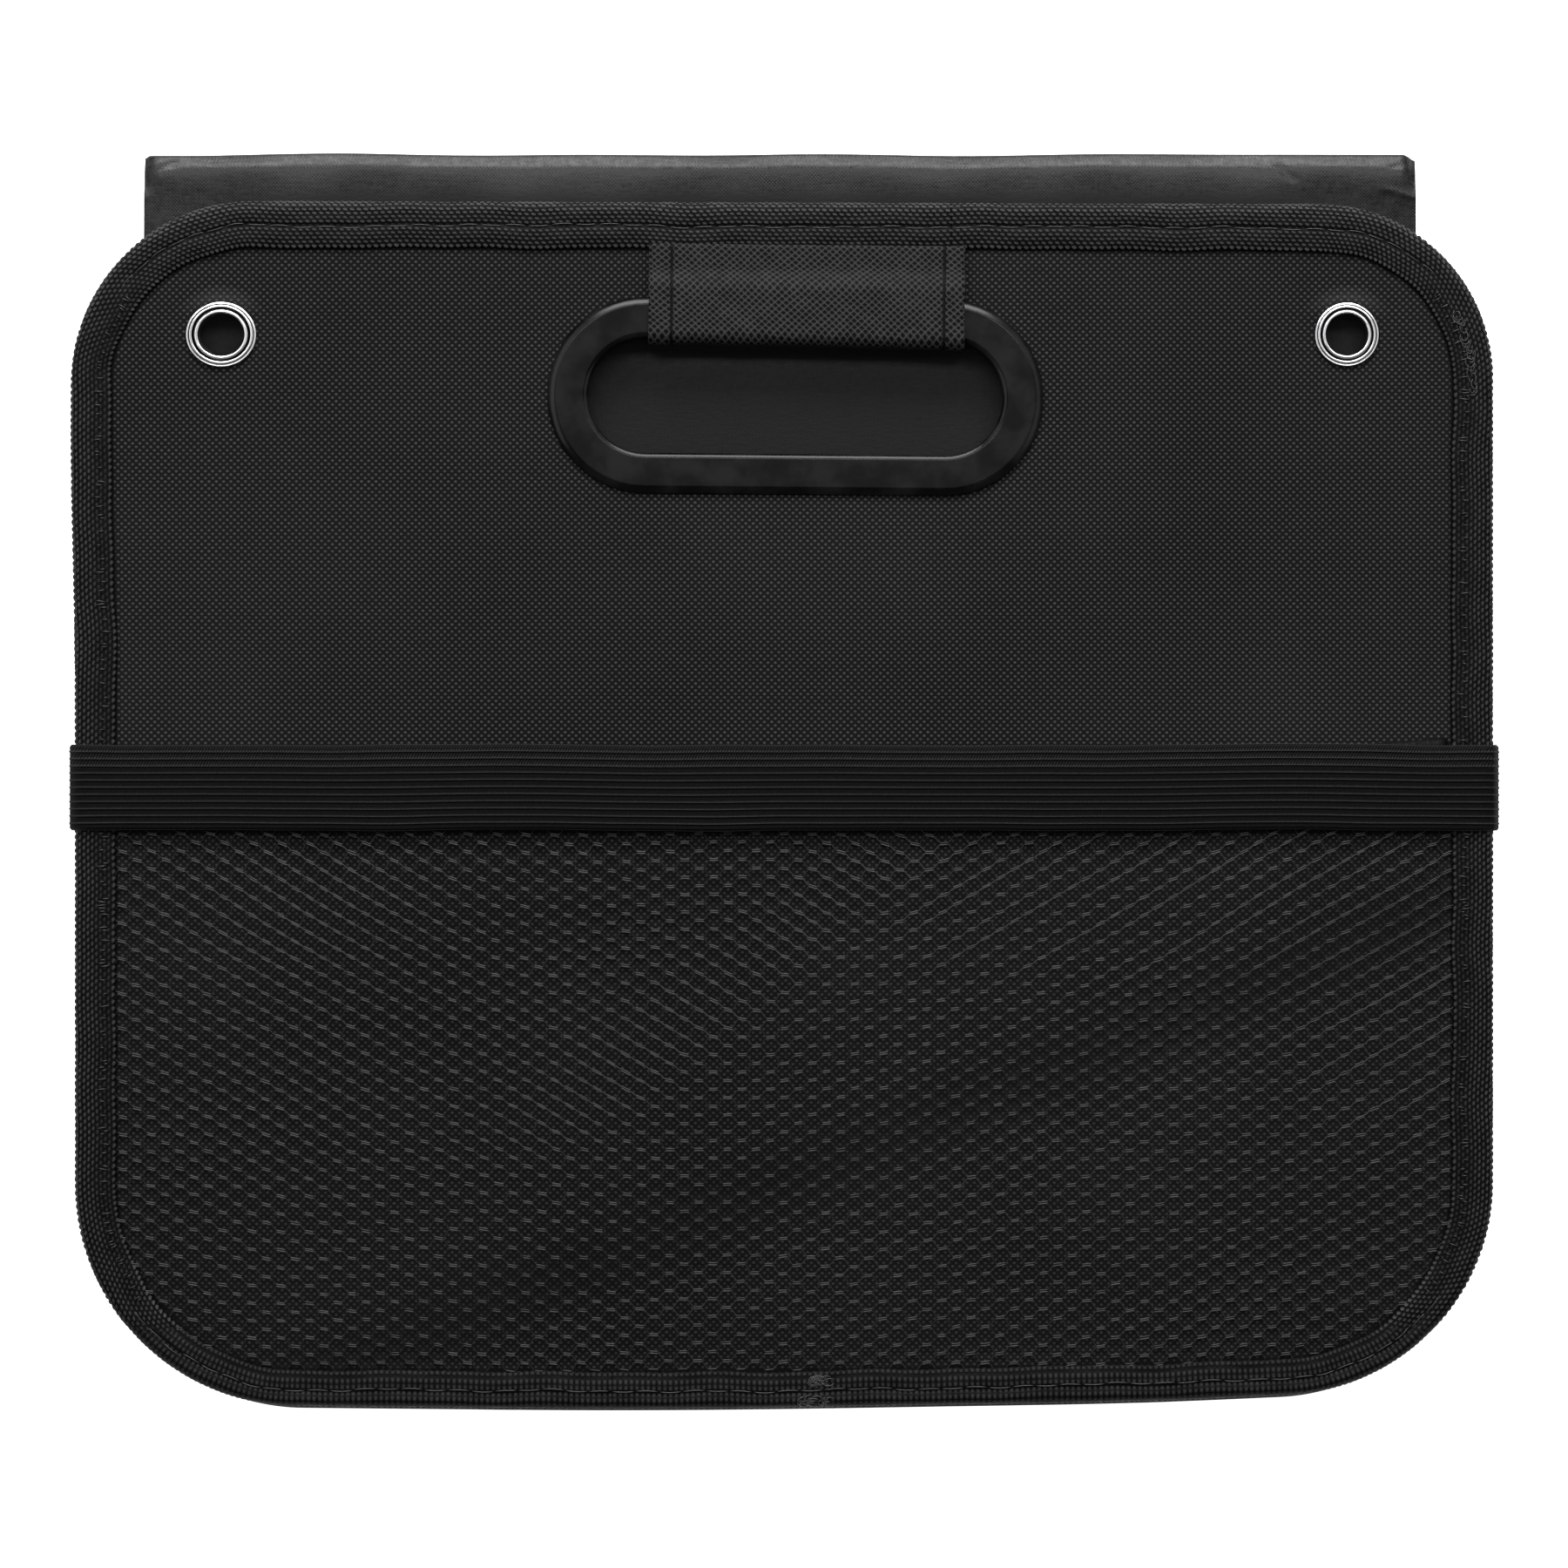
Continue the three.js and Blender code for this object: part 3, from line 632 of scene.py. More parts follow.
def lattice_faces(rows, columns, closed_rows=False, closed_columns=False):
    """Quads over a grid of points, in the order row by row."""
    faces = []
    for r in range(rows if closed_rows else rows - 1):
        for c in range(columns if closed_columns else columns - 1):
            below, beside = (r + 1) % rows, (c + 1) % columns
            faces.append((r * columns + c, r * columns + beside,
                          below * columns + beside, below * columns + c))
    return faces


def lattice_uv(rows, columns, along, across, closed_rows=False, closed_columns=False):
    """Unrolled coordinates for the same quads: along for the rows, across for the columns."""
    corners = []
    for r in range(rows if closed_rows else rows - 1):
        for c in range(columns if closed_columns else columns - 1):
            corners.append(((along[r], across[c]), (along[r], across[c + 1]),
                            (along[r + 1], across[c + 1]), (along[r + 1], across[c])))
    return corners


def running_length(points, closed=False):
    """Distance along a line at each of its points, with the total at the end if it is closed."""
    ring = np.vstack([points, points[:1]]) if closed else points
    return np.concatenate([[0], np.cumsum(np.linalg.norm(np.diff(ring, axis=0), axis=1))])


# Outlines

def corner_arcs():
    """Each corner of the panel's outline, anticlockwise: its centre, radius, and start and end angles."""
    corners = [
        (HALF_WIDTH, PANEL_TOP - TOP_FALL, TOP_RIGHT_RADIUS),
        (-HALF_WIDTH, PANEL_TOP, TOP_LEFT_RADIUS),
        (-HALF_WIDTH, PANEL_BOTTOM + BOTTOM_RISE_LEFT, BOTTOM_LEFT_RADIUS),
        (BOTTOM_LOWEST, PANEL_BOTTOM, BOTTOM_BOW),
        (HALF_WIDTH, PANEL_BOTTOM + BOTTOM_RISE_RIGHT, BOTTOM_RIGHT_RADIUS),
    ]
    arcs = []
    for i, (x, y, radius) in enumerate(corners):
        before, after = corners[i - 1], corners[(i + 1) % len(corners)]
        runs = [np.array([x - before[0], y - before[1]]), np.array([after[0] - x, after[1] - y])]
        facing = [np.array([run[1], -run[0]]) / np.hypot(*run) for run in runs]
        reach = [np.dot((x, y), out) - radius for out in facing]
        centre = np.linalg.solve(np.array(facing), np.array(reach))
        start = math.atan2(facing[0][1], facing[0][0])
        turn = math.acos(max(-1, min(1, float(np.dot(*facing)))))
        arcs.append((centre, radius, start, start + turn))
    return arcs


def densely(points):
    """The closed line through the points, with a point every few millimetres."""
    ring = np.vstack([points, points[:1]])
    length = running_length(ring)
    wanted = np.union1d(np.arange(0, length[-1], 3 * MM), length[:-1])
    return np.column_stack([np.interp(wanted, length, ring[:, axis]) for axis in range(2)])


def bowed(points):
    """Moves the outline where the cloth bows: out at the upper left, and down at the bottom right."""
    x, y = points.T
    left = 1.1 * MM * bell(y - 88 * MM, 38 * MM) * smooth_step(-x, 100 * MM, 150 * MM)
    low = 0.95 * MM * bell(x - 88 * MM, 52 * MM) * smooth_step(-y, 110 * MM, 140 * MM)
    return np.column_stack([x - left, y - low])


def panel_outline(spacing):
    """Evenly spaced points round the panel from its lowest one, with the outward direction at each.

    Also how far round each point is, and the length of the whole outline."""
    points = []
    for centre, radius, start, end in corner_arcs():
        steps = max(8, int(radius * (end - start) / (0.5 * MM)))
        angles = np.linspace(start, end, steps)
        points += [centre + radius * np.array([math.cos(a), math.sin(a)]) for a in angles]
    points = bowed(densely(np.array(points)))
    start = int(np.argmin(points[:, 1]))
    points = np.roll(points, -start, axis=0)
    length = running_length(points, closed=True)
    count = int(round(length[-1] / spacing))
    wanted = np.arange(count) * length[-1] / count
    ring = np.vstack([points, points[:1]])
    even = np.column_stack([np.interp(wanted, length, ring[:, axis]) for axis in range(2)])
    run = np.roll(even, -1, axis=0) - np.roll(even, 1, axis=0)
    out = np.column_stack([run[:, 1], -run[:, 0]]) / np.linalg.norm(run, axis=1)[:, None]
    return even, out, wanted, length[-1]


def panel_distance(x, y):
    """Distance outside the panel's outline, and less than zero inside it."""
    nearest = np.full(x.shape, np.inf)
    outside = np.full(x.shape, -np.inf)
    points, _, _, _ = panel_outline(3 * MM)
    for here, there in zip(points, np.roll(points, -1, axis=0)):
        run = there - here
        share = np.clip(((x - here[0]) * run[0] + (y - here[1]) * run[1]) / np.dot(run, run), 0, 1)
        nearest = np.minimum(nearest, np.hypot(x - here[0] - share * run[0], y - here[1] - share * run[1]))
        beyond = ((x - here[0]) * run[1] - (y - here[1]) * run[0]) / np.hypot(*run)
        outside = np.maximum(outside, beyond)
    return np.where(outside > 0, nearest, -nearest)


def in_grip_frame(x, y):
    across, up = x - GRIP_X, y - GRIP_Y
    turned = across * math.cos(GRIP_TILT) + up * math.sin(GRIP_TILT)
    return turned, up * math.cos(GRIP_TILT) - across * math.sin(GRIP_TILT)


def slot_distance(x, y):
    """Distance outside the hand hole, and less than zero inside it."""
    along, up = in_grip_frame(x, y)
    reach = (HOLE_LENGTH - HOLE_HEIGHT) / 2
    return np.hypot(np.maximum(np.abs(along) - reach, 0), up) - HOLE_HEIGHT / 2


def eyelet_distance(x, y):
    return np.hypot(np.abs(x) - EYELET_X, y - EYELET_Y)


def panel_cloth_distance(x, y):
    outline = panel_distance(x, y) + PLY_INSET
    hand_hole = slot_distance(x, y) - COLLAR_WALL - HOLE_CLEARANCE
    eyelets = eyelet_distance(x, y) - EYELET_HOLE - EYELET_WALL - HOLE_CLEARANCE
    return np.maximum(outline, np.maximum(-hand_hole, -eyelets))


def grid_lines(low, high, coarse, fine, places, reach):
    """Grid lines that lie closer together near the given places."""
    lines = [low]
    while lines[-1] < high:
        near = min(abs(lines[-1] - place) for place in places) < reach
        lines.append(lines[-1] + (fine if near else coarse))
    return np.array(lines)


def trimmed_grid(distance, xs, ys):
    """A grid of points and faces where distance is below zero, trimmed to where it crosses zero."""
    x, y = np.meshgrid(xs, ys)
    d = distance(x, y)
    slope_y, slope_x = np.gradient(d, ys, xs)
    steep = np.maximum(slope_x**2 + slope_y**2, 0.25)
    room = 0.3 * np.minimum(np.gradient(xs)[None, :], np.gradient(ys)[:, None])
    near = np.abs(d) < room
    x = np.where(near, x - d * slope_x / steep, x)
    y = np.where(near, y - d * slope_y / steep, y)
    d = np.where(near, 0, d)
    points, faces, made = [], [], {}

    def point(key, px, py):
        if key not in made:
            made[key] = len(points)
            points.append((px, py))
        return made[key]

    for r in range(len(ys) - 1):
        for c in range(len(xs) - 1):
            corners = [(r, c), (r, c + 1), (r + 1, c + 1), (r + 1, c)]
            values = [d[k] for k in corners]
            if min(values) >= 0:
                continue
            face = []
            for i in range(4):
                here, there = corners[i], corners[(i + 1) % 4]
                a, b = values[i], values[(i + 1) % 4]
                if a <= 0:
                    face.append(point(here, x[here], y[here]))
                if a * b < 0:
                    share = a / (a - b)
                    key = (min(here, there), max(here, there))
                    face.append(point(key, x[here] + share * (x[there] - x[here]),
                                      y[here] + share * (y[there] - y[here])))
            if len(face) > 2:
                faces.append(tuple(face))
    return np.array(points), faces


# Covers and linings

def cover_height(x, y):
    """How the cover rises and dips: slow waves, and short puckers above the eyelets and beside the grip."""
    waves = 0.16 * MM * waviness(x, y, 90 * MM, 1)
    from_rim = eyelet_distance(x, y) - EYELET_RIM
    above = smooth_step((y - EYELET_Y) / (np.abs(np.abs(x) - EYELET_X) + 4 * MM), 0.5, 1.3)
    puckers = 0.24 * MM * np.sin(from_rim / PUCKER_PITCH * 2 * math.pi)
    puckers = puckers * np.exp(-np.maximum(from_rim, 0) / (3 * MM))
    dimple = -0.25 * MM * np.exp(-np.maximum(from_rim, 0) / (2.5 * MM))
    edge = np.exp(panel_distance(x, y) / (6 * MM))
    return np.maximum(waves * (1 - edge) + puckers * above + dimple * (1 - above), -0.3 * MM)


class OBJECT_OT_panel_cloth(bpy.types.Operator):
    """Covers and linings of the two end panels"""

    bl_idname = "organiser.panel_cloth"
    bl_label = "Panel cloth"

    def execute(self, context):
        low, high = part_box("front_cover")
        cover, lining = (COVER_OUT, COVER_OUT - COVER_IN), (LINING_OUT, LINING_OUT - LINING_IN)
        for side, cloth, coarse, fine, (top, thick) in (
            ("front", "cover", 2.4 * MM, 0.8 * MM, cover),
            ("front", "lining", 6 * MM, 6 * MM, lining),
            ("rear", "cover", 4 * MM, 2.4 * MM, cover),
            ("rear", "lining", 6 * MM, 6 * MM, lining),
        ):
            xs = grid_lines(low.x - MM, high.x + MM, coarse, fine, (-EYELET_X, EYELET_X), 15 * MM)
            ys = grid_lines(low.y - MM, high.y + MM, coarse, fine, (EYELET_Y + 4 * MM,), 15 * MM)
            flat, faces = trimmed_grid(panel_cloth_distance, xs, ys)
            lift = cover_height(flat[:, 0], flat[:, 1]) if cloth == "cover" else np.zeros(len(flat))
            points = np.column_stack([flat, top + lift])
            inward = distance_from_tape(flat[:, 0], flat[:, 1]).tolist()
            corners = [tuple((inward[i], 0.5) for i in face) for face in faces]
            made = piece(f"{side}_{cloth}_cloth", points, faces, cloth,
                         [f"{side}_{cloth}"], uv=corners, side=side, thickness=thick)
        return {"FINISHED"}


def distance_from_tape(x, y):
    """Distance in from the tape's selvage."""
    edge, out, _, _ = panel_outline(3 * MM)
    parts = np.array_split(np.column_stack([x, y]), 40)
    nearest = np.concatenate([np.argmin(np.hypot(part[:, :1] - edge[:, 0], part[:, 1:] - edge[:, 1]), axis=1)
                              for part in parts])
    return -panel_distance(x, y) - lap_width(out[nearest])


def lap_width(out):
    """How wide the tape's front lap is, by the way the panel's edge faces."""
    narrower_at_sides = 1.3 * MM * out[:, 0] ** 2
    narrower_at_bottom = 2.3 * MM * np.maximum(-out[:, 1], 0) ** 2
    return 11.2 * MM - narrower_at_sides - narrower_at_bottom


def tape_lines(spacing):
    """The panel's outline with the tape's width at each point, and how far the lapped end lifts it."""
    edge, out, along, total = panel_outline(spacing)
    lap = lap_width(out) + 0.3 * MM * waviness(along, 0 * along, 26 * MM, 4)
    at_bottom = out[:, 1] < -0.9
    lifted = smooth_step(edge[:, 0], LAP_START, LAP_START + 40 * MM) * (edge[:, 0] < LAP_END) * at_bottom
    return edge, out, along, total, lap, LAP_RISE * lifted


def knots(along, across):
    """Height of the webbing's knots, from 0 to 1: slanted ovals in staggered rows."""
    row = np.floor(across / sizes().tape_knot_width)
    v = across / sizes().tape_knot_width - row - 0.5
    u = along / sizes().tape_knot_length + 0.5 * np.mod(row, 2)
    u = u - np.floor(u) - 0.5 + KNOT_SLANT * v
    return np.sqrt(np.clip(1 - (u / KNOT_HALF) ** 2 - (v / KNOT_HALF) ** 2, 0, 1))


def ribs(along, across):
    """Height of the ribs along the bottom edge, with the beads of the selvage, from 0 to 1."""
    beat = np.abs(np.sin(along * math.pi / RIB_PITCH))
    rows = 0.3 + 0.7 * np.abs(np.sin(across * math.pi / RIB_LENGTH))
    rows = rows * smooth_step(across, 1.2 * MM, 1.7 * MM)
    return beat * (rows + 1.2 * bell(across - SELVAGE_INSET, 0.32 * MM))


def tape_surface(along, out, lap, lifted, across):
    """Reach and height of the tape's outer face, and its facing, at a distance in from the selvage."""
    flat = (lap - TAPE_ROUND)[:, None]
    turn = np.clip((across - flat) / TAPE_ROUND, 0, math.pi / 2)
    reach = np.where(across < flat, across - lap[:, None], -TAPE_ROUND + TAPE_ROUND * np.sin(turn))
    from_thread = np.abs(across - THREAD_INSET)
    on_side = smooth_step(np.abs(out[:, 0]), 0.5, 0.95)[:, None]
    groove = 0.24 * MM * bell(from_thread, 0.55 * MM) * (1 - on_side)
    hollow = 0.16 * MM * on_side * smooth_step(across, 1.2 * MM, 2.2 * MM)
    hollow = hollow * smooth_step(-across, -6.6 * MM, -4.8 * MM)
    curl = 0.4 * MM * np.exp(-across / (0.5 * MM))
    crown = 0.3 * MM * smooth_step(across, 0, 3 * MM)
    puff = 0.14 * MM * waviness(along[:, None], across * 3, 17 * MM, 7)
    height = np.where(across < flat, TAPE_OUT, TAPE_OUT - TAPE_ROUND + TAPE_ROUND * np.cos(turn))
    height = height - TAPE_SUNK + (crown - groove - hollow - curl + puff) * np.cos(turn) + lifted[:, None]
    return reach, height, turn


def tape_grid(spacing, columns):
    """Points of the closed tape for each spot on the outline, with the unrolled distance across it."""
    edge, out, along, total, lap, lifted = tape_lines(spacing)
    flat = (lap - TAPE_ROUND)[:, None]
    share = np.linspace(0, 1, columns)[None, :]
    arc = np.linspace(0, math.pi / 2, max(4, columns // 3))[None, 1:] * TAPE_ROUND
    across = np.hstack([share * flat, flat + arc])
    reach, height, turn = tape_surface(along, out, lap, lifted, across)
    on_side = smooth_step(np.abs(out[:, 0]), 0.5, 0.95)[:, None]
    inner = smooth_step(-across, -6.4 * MM, -5 * MM) * on_side
    at_bottom = smooth_step(-edge[:, 1], -RIBS_FROM, -RIBS_FULL)[:, None]
    weave = knots(along[:, None], across) * (1 - at_bottom) + 0.6 * ribs(along[:, None], across) * at_bottom
    at_thread = bell(across - THREAD_INSET + THREAD_SHIFT * at_bottom, 0.75 * MM)
    relief = RELIEF_DEPTH * weave * (1 - 0.35 * inner) * (1 - 0.8 * at_thread * (1 - on_side))
    tooth = 0.4 * MM * knots(along[:, None], 0 * across + 0.5 * sizes().tape_knot_width)
    reach = reach + relief * np.sin(turn) - tooth * np.exp(-across / (0.4 * MM))
    height = height + relief * np.cos(turn)
    seen = across.shape[1] - 1
    rows = len(edge)
    rest = np.array(tape_back())
    last = (-lap + 0.15 * MM)[:, None]
    reach = np.hstack([reach, np.tile(rest[:, 0], (rows, 1)), last])
    height = np.hstack([height, np.tile(rest[:, 1], (rows, 1)), np.full((rows, 1), COVER_OUT - TAPE_SUNK)])
    step = np.hypot(np.diff(reach[:, seen:], axis=1), np.diff(height[:, seen:], axis=1))
    across = np.hstack([across, across[:, -1:] + np.cumsum(step, axis=1)])
    points = np.dstack([edge[:, 0:1] + out[:, 0:1] * reach, edge[:, 1:2] + out[:, 1:2] * reach, height])
    return points, along, total, across


def tape_back():
    """The tape's section from its side round to its back and its inner face: [reach, height]."""
    back = [(0, TAPE_OUT - TAPE_ROUND + (TAPE_IN - TAPE_OUT + 2 * TAPE_ROUND) * 0.5)]
    for turn in np.linspace(0, math.pi / 2, 3):
        back.append((TAPE_ROUND * (math.cos(turn) - 1), TAPE_IN + TAPE_ROUND * (1 - math.sin(turn))))
    return back + [
        (-TAPE_HEM, TAPE_IN),
        (-TAPE_HEM, TAPE_IN + 0.8 * TAPE_THICKNESS),
        (-TAPE_ROUND, TAPE_IN + TAPE_THICKNESS - 0.1 * MM),
        (-TAPE_THICKNESS, TAPE_IN + TAPE_ROUND),
        (-TAPE_THICKNESS, TAPE_OUT - TAPE_ROUND - 0.2 * MM),
        (-TAPE_ROUND, TAPE_OUT - TAPE_THICKNESS - 0.2 * MM),
    ]


def tape_piece(name, side, grid, first, last, replaces):
    """One length of the tape, from one row of the grid to another, closed at both ends."""
    points, along, total, across = grid
    rows = np.arange(first, last + 1)
    wrapped = rows % len(along)
    lengths = along[wrapped] + total * (rows // len(along))
    points, across = points[wrapped], across[wrapped]
    count, columns = points.shape[:2]
    index = np.arange(count * columns).reshape(count, columns)
    a, b = index[:-1], index[1:]
    faces = np.dstack([a, b, np.roll(b, -1, axis=1), np.roll(a, -1, axis=1)]).reshape(-1, 4)
    closing = across[:, -1:] + MM
    far = np.hstack([across[:, 1:], closing])
    u = np.repeat(lengths[:, None], columns, axis=1)
    corner_pairs = ((u[:-1], across[:-1]), (u[1:], across[1:]), (u[1:], far[1:]), (u[:-1], far[:-1]))
    uv = np.stack([np.stack(pair, -1) for pair in corner_pairs], axis=2).reshape(-1, 4, 2)
    ends = [tuple(index[0].tolist()), tuple(reversed(index[-1].tolist()))]
    faces = [tuple(face) for face in faces.tolist()] + ends
    corners = [tuple(map(tuple, face)) for face in uv.tolist()]
    corners.append(tuple((lengths[0], value) for value in across[0]))
    corners.append(tuple((lengths[-1], value) for value in across[-1][::-1]))
    return piece(name, points, faces, "webbing", replaces, uv=corners, side=side)


def on_tape(lines, at, across, lift):
    """A point on the tape's outer face: at a distance along it, in from its selvage, and above it."""
    edge, out, along, _, lap, lifted = lines
    rows = (edge[:, 0], edge[:, 1], out[:, 0], out[:, 1], lap, lifted)
    x, y, out_x, out_y, width, raised = (np.interp(at, along, values) for values in rows)
    reach, height, _ = tape_surface(np.array([at]), np.array([[out_x, out_y]]), np.array([width]),
                                    np.array([raised]), np.array([[across]]))
    reach, height = float(reach[0, 0]), float(height[0, 0])
    return (x + out_x * reach, y + out_y * reach, height + RELIEF_DEPTH * 0.5 + lift)


def stitch_mesh(lines, radius, sides):
    """Short rounded threads, each along its own line of points."""
    points, faces = [], []
    for line in lines:
        line = np.array(line)
        run = np.gradient(line, axis=0)
        run /= np.linalg.norm(run, axis=1)[:, None]
        flat = np.cross(run, (0, 0, 1))
        flat /= np.maximum(np.linalg.norm(flat, axis=1)[:, None], 1e-9)
        up = np.cross(flat, run)
        start = len(points)
        count = len(line)
        for i in range(count):
            end = min(i, count - 1 - i) == 0
            r = radius * (0.5 if end else 1)
            for k in range(sides):
                angle = 2 * math.pi * k / sides
                points.append(line[i] + r * (math.cos(angle) * flat[i] + math.sin(angle) * up[i]))
        for face in lattice_faces(count, sides, closed_columns=True):
            faces.append(tuple(start + i for i in face))
        faces.append(tuple(start + k for k in reversed(range(sides))))
        faces.append(tuple(start + (count - 1) * sides + k for k in range(sides)))
    return np.array(points), [tuple(reversed(face)) for face in faces]


def seam_lines(lines):
    """The running stitches that hold the tape down, a little uneven, where they show."""
    _, out, along, total, _, _ = lines
    stitch = sizes().stitch_length
    count = int(total / stitch)
    made = []
    for i in range(count):
        start = i * total / count
        if abs(np.interp(start, along, out[:, 0])) > 0.8:
            continue
        inset = THREAD_INSET + 0.3 * MM * float(waviness(np.array(start), np.array(0.0), 60 * MM, 2))
        if np.interp(start, along, out[:, 1]) < -0.8:
            inset -= THREAD_SHIFT
        spots = start + np.linspace(0.01, 0.97, 7) * stitch
        arch = np.array([-0.3, -0.03, 0.03, 0.04, 0.03, -0.03, -0.3]) * MM
        drift = 0.18 * MM * np.sin(np.linspace(0, math.pi, 7)) * (-1) ** i
        made.append([on_tape(lines, spot, inset + sway, lift)
                     for spot, sway, lift in zip(spots, drift, arch)])
    return made


def side_ticks(lines, random):
    """The cross stitches on the panel's sides, which show as short bright ticks."""
    _, out, along, total, _, _ = lines
    made = []
    at = 0.0
    while at < total:
        at += random.choice((0.8, 2.4, 3.2)) * random.uniform(0.9, 1.1) * MM
        if abs(np.interp(at, along, out[:, 0])) < 0.8:
            continue
        middle = random.uniform(2.2, 3.4) * MM
        half = random.choice((0.5, 0.7, 0.9, 1.2)) * MM
        spots = np.linspace(-half, half, 5)
        slant = random.uniform(-0.2, 0.2)
        made.append([on_tape(lines, at + slant * spot, middle + spot, lift)
                     for spot, lift in zip(spots, np.array([-0.1, 0.24, 0.3, 0.24, -0.1]) * MM)])
    return made


def thread_tangle(lines, at, across, length, width, loops, random):
    """Backstitches sewn over one another: a thread that loops to and fro about one place."""
    made = []
    for _ in range(loops):
        middle = at + random.uniform(-0.5, 0.5) * length
        inset = across + random.uniform(-0.5, 0.5) * width
        turn = random.uniform(0, math.pi)
        sweep = random.uniform(2.2, 4.2)
        radius = random.uniform(0.5, 1.2) * MM
        line = []
        for angle in np.linspace(turn, turn + sweep, 7):
            line.append(on_tape(lines, middle + 1.5 * radius * math.cos(angle),
                                inset + radius * math.sin(angle), random.uniform(0, 0.3) * MM))
        made.append(line)
    return made


class OBJECT_OT_bindings(bpy.types.Operator):
    """Webbing tape round both panels, its seams and its lapped ends"""

    bl_idname = "organiser.bindings"
    bl_label = "Bindings"

    def execute(self, context):
        for side in SIDES:
            random = np.random.default_rng(7)
            fine = side == "front"
            grid = tape_grid(0.49 * MM if fine else 1.4 * MM, 26 if fine else 12)
            rows = len(grid[1])
            node = f"{side}_binding"
            tape_piece(f"{node}_tape_right", side, grid, 0, rows // 2, [node])
            tape_piece(f"{node}_tape_left", side, grid, rows // 2, rows, [node])
            lines = tape_lines(1 * MM)
            threads = seam_lines(lines) + side_ticks(lines, random)
            threads += self.tangles(lines, random)
            points, faces = stitch_mesh(threads, THREAD_RADIUS, 6 if fine else 4)
            piece(f"{node}_seam", points, faces, "thread", side=side)
        return {"FINISHED"}

    def tangles(self, lines, random):
        """Sewn-over places: the lapped ends at the bottom, and the start of the seam at the upper right."""
        edge, out, along, total, _, _ = lines
        bottom = out[:, 1] < -0.9
        lap_at = along[int(np.argmin(np.where(bottom, np.abs(edge[:, 0] - LAP_END), np.inf)))]
        made = thread_tangle(lines, (lap_at - 2 * MM) % total, 2.4 * MM, 5 * MM, 1.4 * MM, 22, random)
        made += thread_tangle(lines, (lap_at - 3.4 * MM) % total, 7.4 * MM, 7 * MM, 2.2 * MM, 22, random)
        upper_right = (edge[:, 0] > 0) & (edge[:, 1] > 0)
        for y in np.arange(97, 120, 1.7) * MM:
            nearest = int(np.argmin(np.where(upper_right, np.abs(edge[:, 1] - y), np.inf)))
            made += thread_tangle(lines, along[nearest], 4.6 * MM, 1.3 * MM, 1 * MM, 2, random)
        return made


# Grip

def slot_path(segments):
    """Points round the hand hole's edge, and the outward direction at each."""
    reach, radius = (HOLE_LENGTH - HOLE_HEIGHT) / 2, HOLE_HEIGHT / 2
    points, out = [], []
    for end, first in ((reach, -90), (-reach, 90)):
        for angle in np.radians(np.linspace(first, first + 180, segments)):
            direction = np.array([math.cos(angle), math.sin(angle)])
            points.append(np.array([end, 0]) + radius * direction)
            out.append(direction)
    turn = np.array([[math.cos(GRIP_TILT), -math.sin(GRIP_TILT)], [math.sin(GRIP_TILT), math.cos(GRIP_TILT)]])
    return np.array(points) @ turn.T + (GRIP_X, GRIP_Y), np.array(out) @ turn.T


def ring_section():
    """The frame's closed section: [distance out from the hole, height].

    Its face has a bevel at each edge. Points close to the bevels keep it flat when it is shaded smoothly."""
    crown = 0.05 * MM
    inner_drop, outer_drop = INNER_BEVEL * BEVEL_FALL, OUTER_BEVEL * BEVEL_FALL
    shares = (0.06, 0.5, 0.94)
    flat_start, flat_end = INNER_BEVEL + 0.12 * MM, RING_WIDTH - OUTER_BEVEL - 0.12 * MM
    section = [(0, RING_BACK), (0, RING_OUT - inner_drop - 0.4 * MM)]
    section += [(0.04 * MM, RING_OUT - inner_drop - 0.08 * MM)]
    section += [(share * INNER_BEVEL, RING_OUT - (1 - share) * inner_drop) for share in shares]
    section += [(flat_start, RING_OUT), (flat_start + 0.25 * MM, RING_OUT)]
    section += [(RING_WIDTH / 2, RING_OUT + crown), (flat_end - 0.25 * MM, RING_OUT), (flat_end, RING_OUT)]
    for share in shares[::-1]:
        section.append((RING_WIDTH - share * OUTER_BEVEL, RING_OUT - (1 - share) * outer_drop))
    section.append((RING_WIDTH, RING_OUT - outer_drop - 0.12 * MM))
    section.append((RING_WIDTH, COVER_OUT + 0.12 * MM))
    section.append((COLLAR_WALL, COVER_OUT + 0.12 * MM))
    section.append((COLLAR_WALL, RING_BACK))
    return section


def sleeve_line():
    """The sleeve's middle line, from the front tape to the rear one: [up from the grip's middle, height]."""
    half = SLEEVE_HALF_GAP
    tape_edge = PANEL_TOP - 10.9 * MM - GRIP_Y
    seam_end = tape_edge - 6.6 * MM
    ramp_end = seam_end - 4 * MM
    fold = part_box("front_grip_sleeve")[0].y - GRIP_Y + 1.75 * MM + half
    on_cover = COVER_OUT + 0.1 * MM + half
    under = LINING_IN - 0.1 * MM - half
    out, back = SLEEVE_OUT - half, SLEEVE_IN + half
    corners = [(tape_edge, on_cover), (seam_end, on_cover), (ramp_end, out), (fold, out),
               (fold, back), (ramp_end, back), (seam_end, under), (tape_edge, under)]
    return rounded_line(corners, 1.6 * MM, 5)


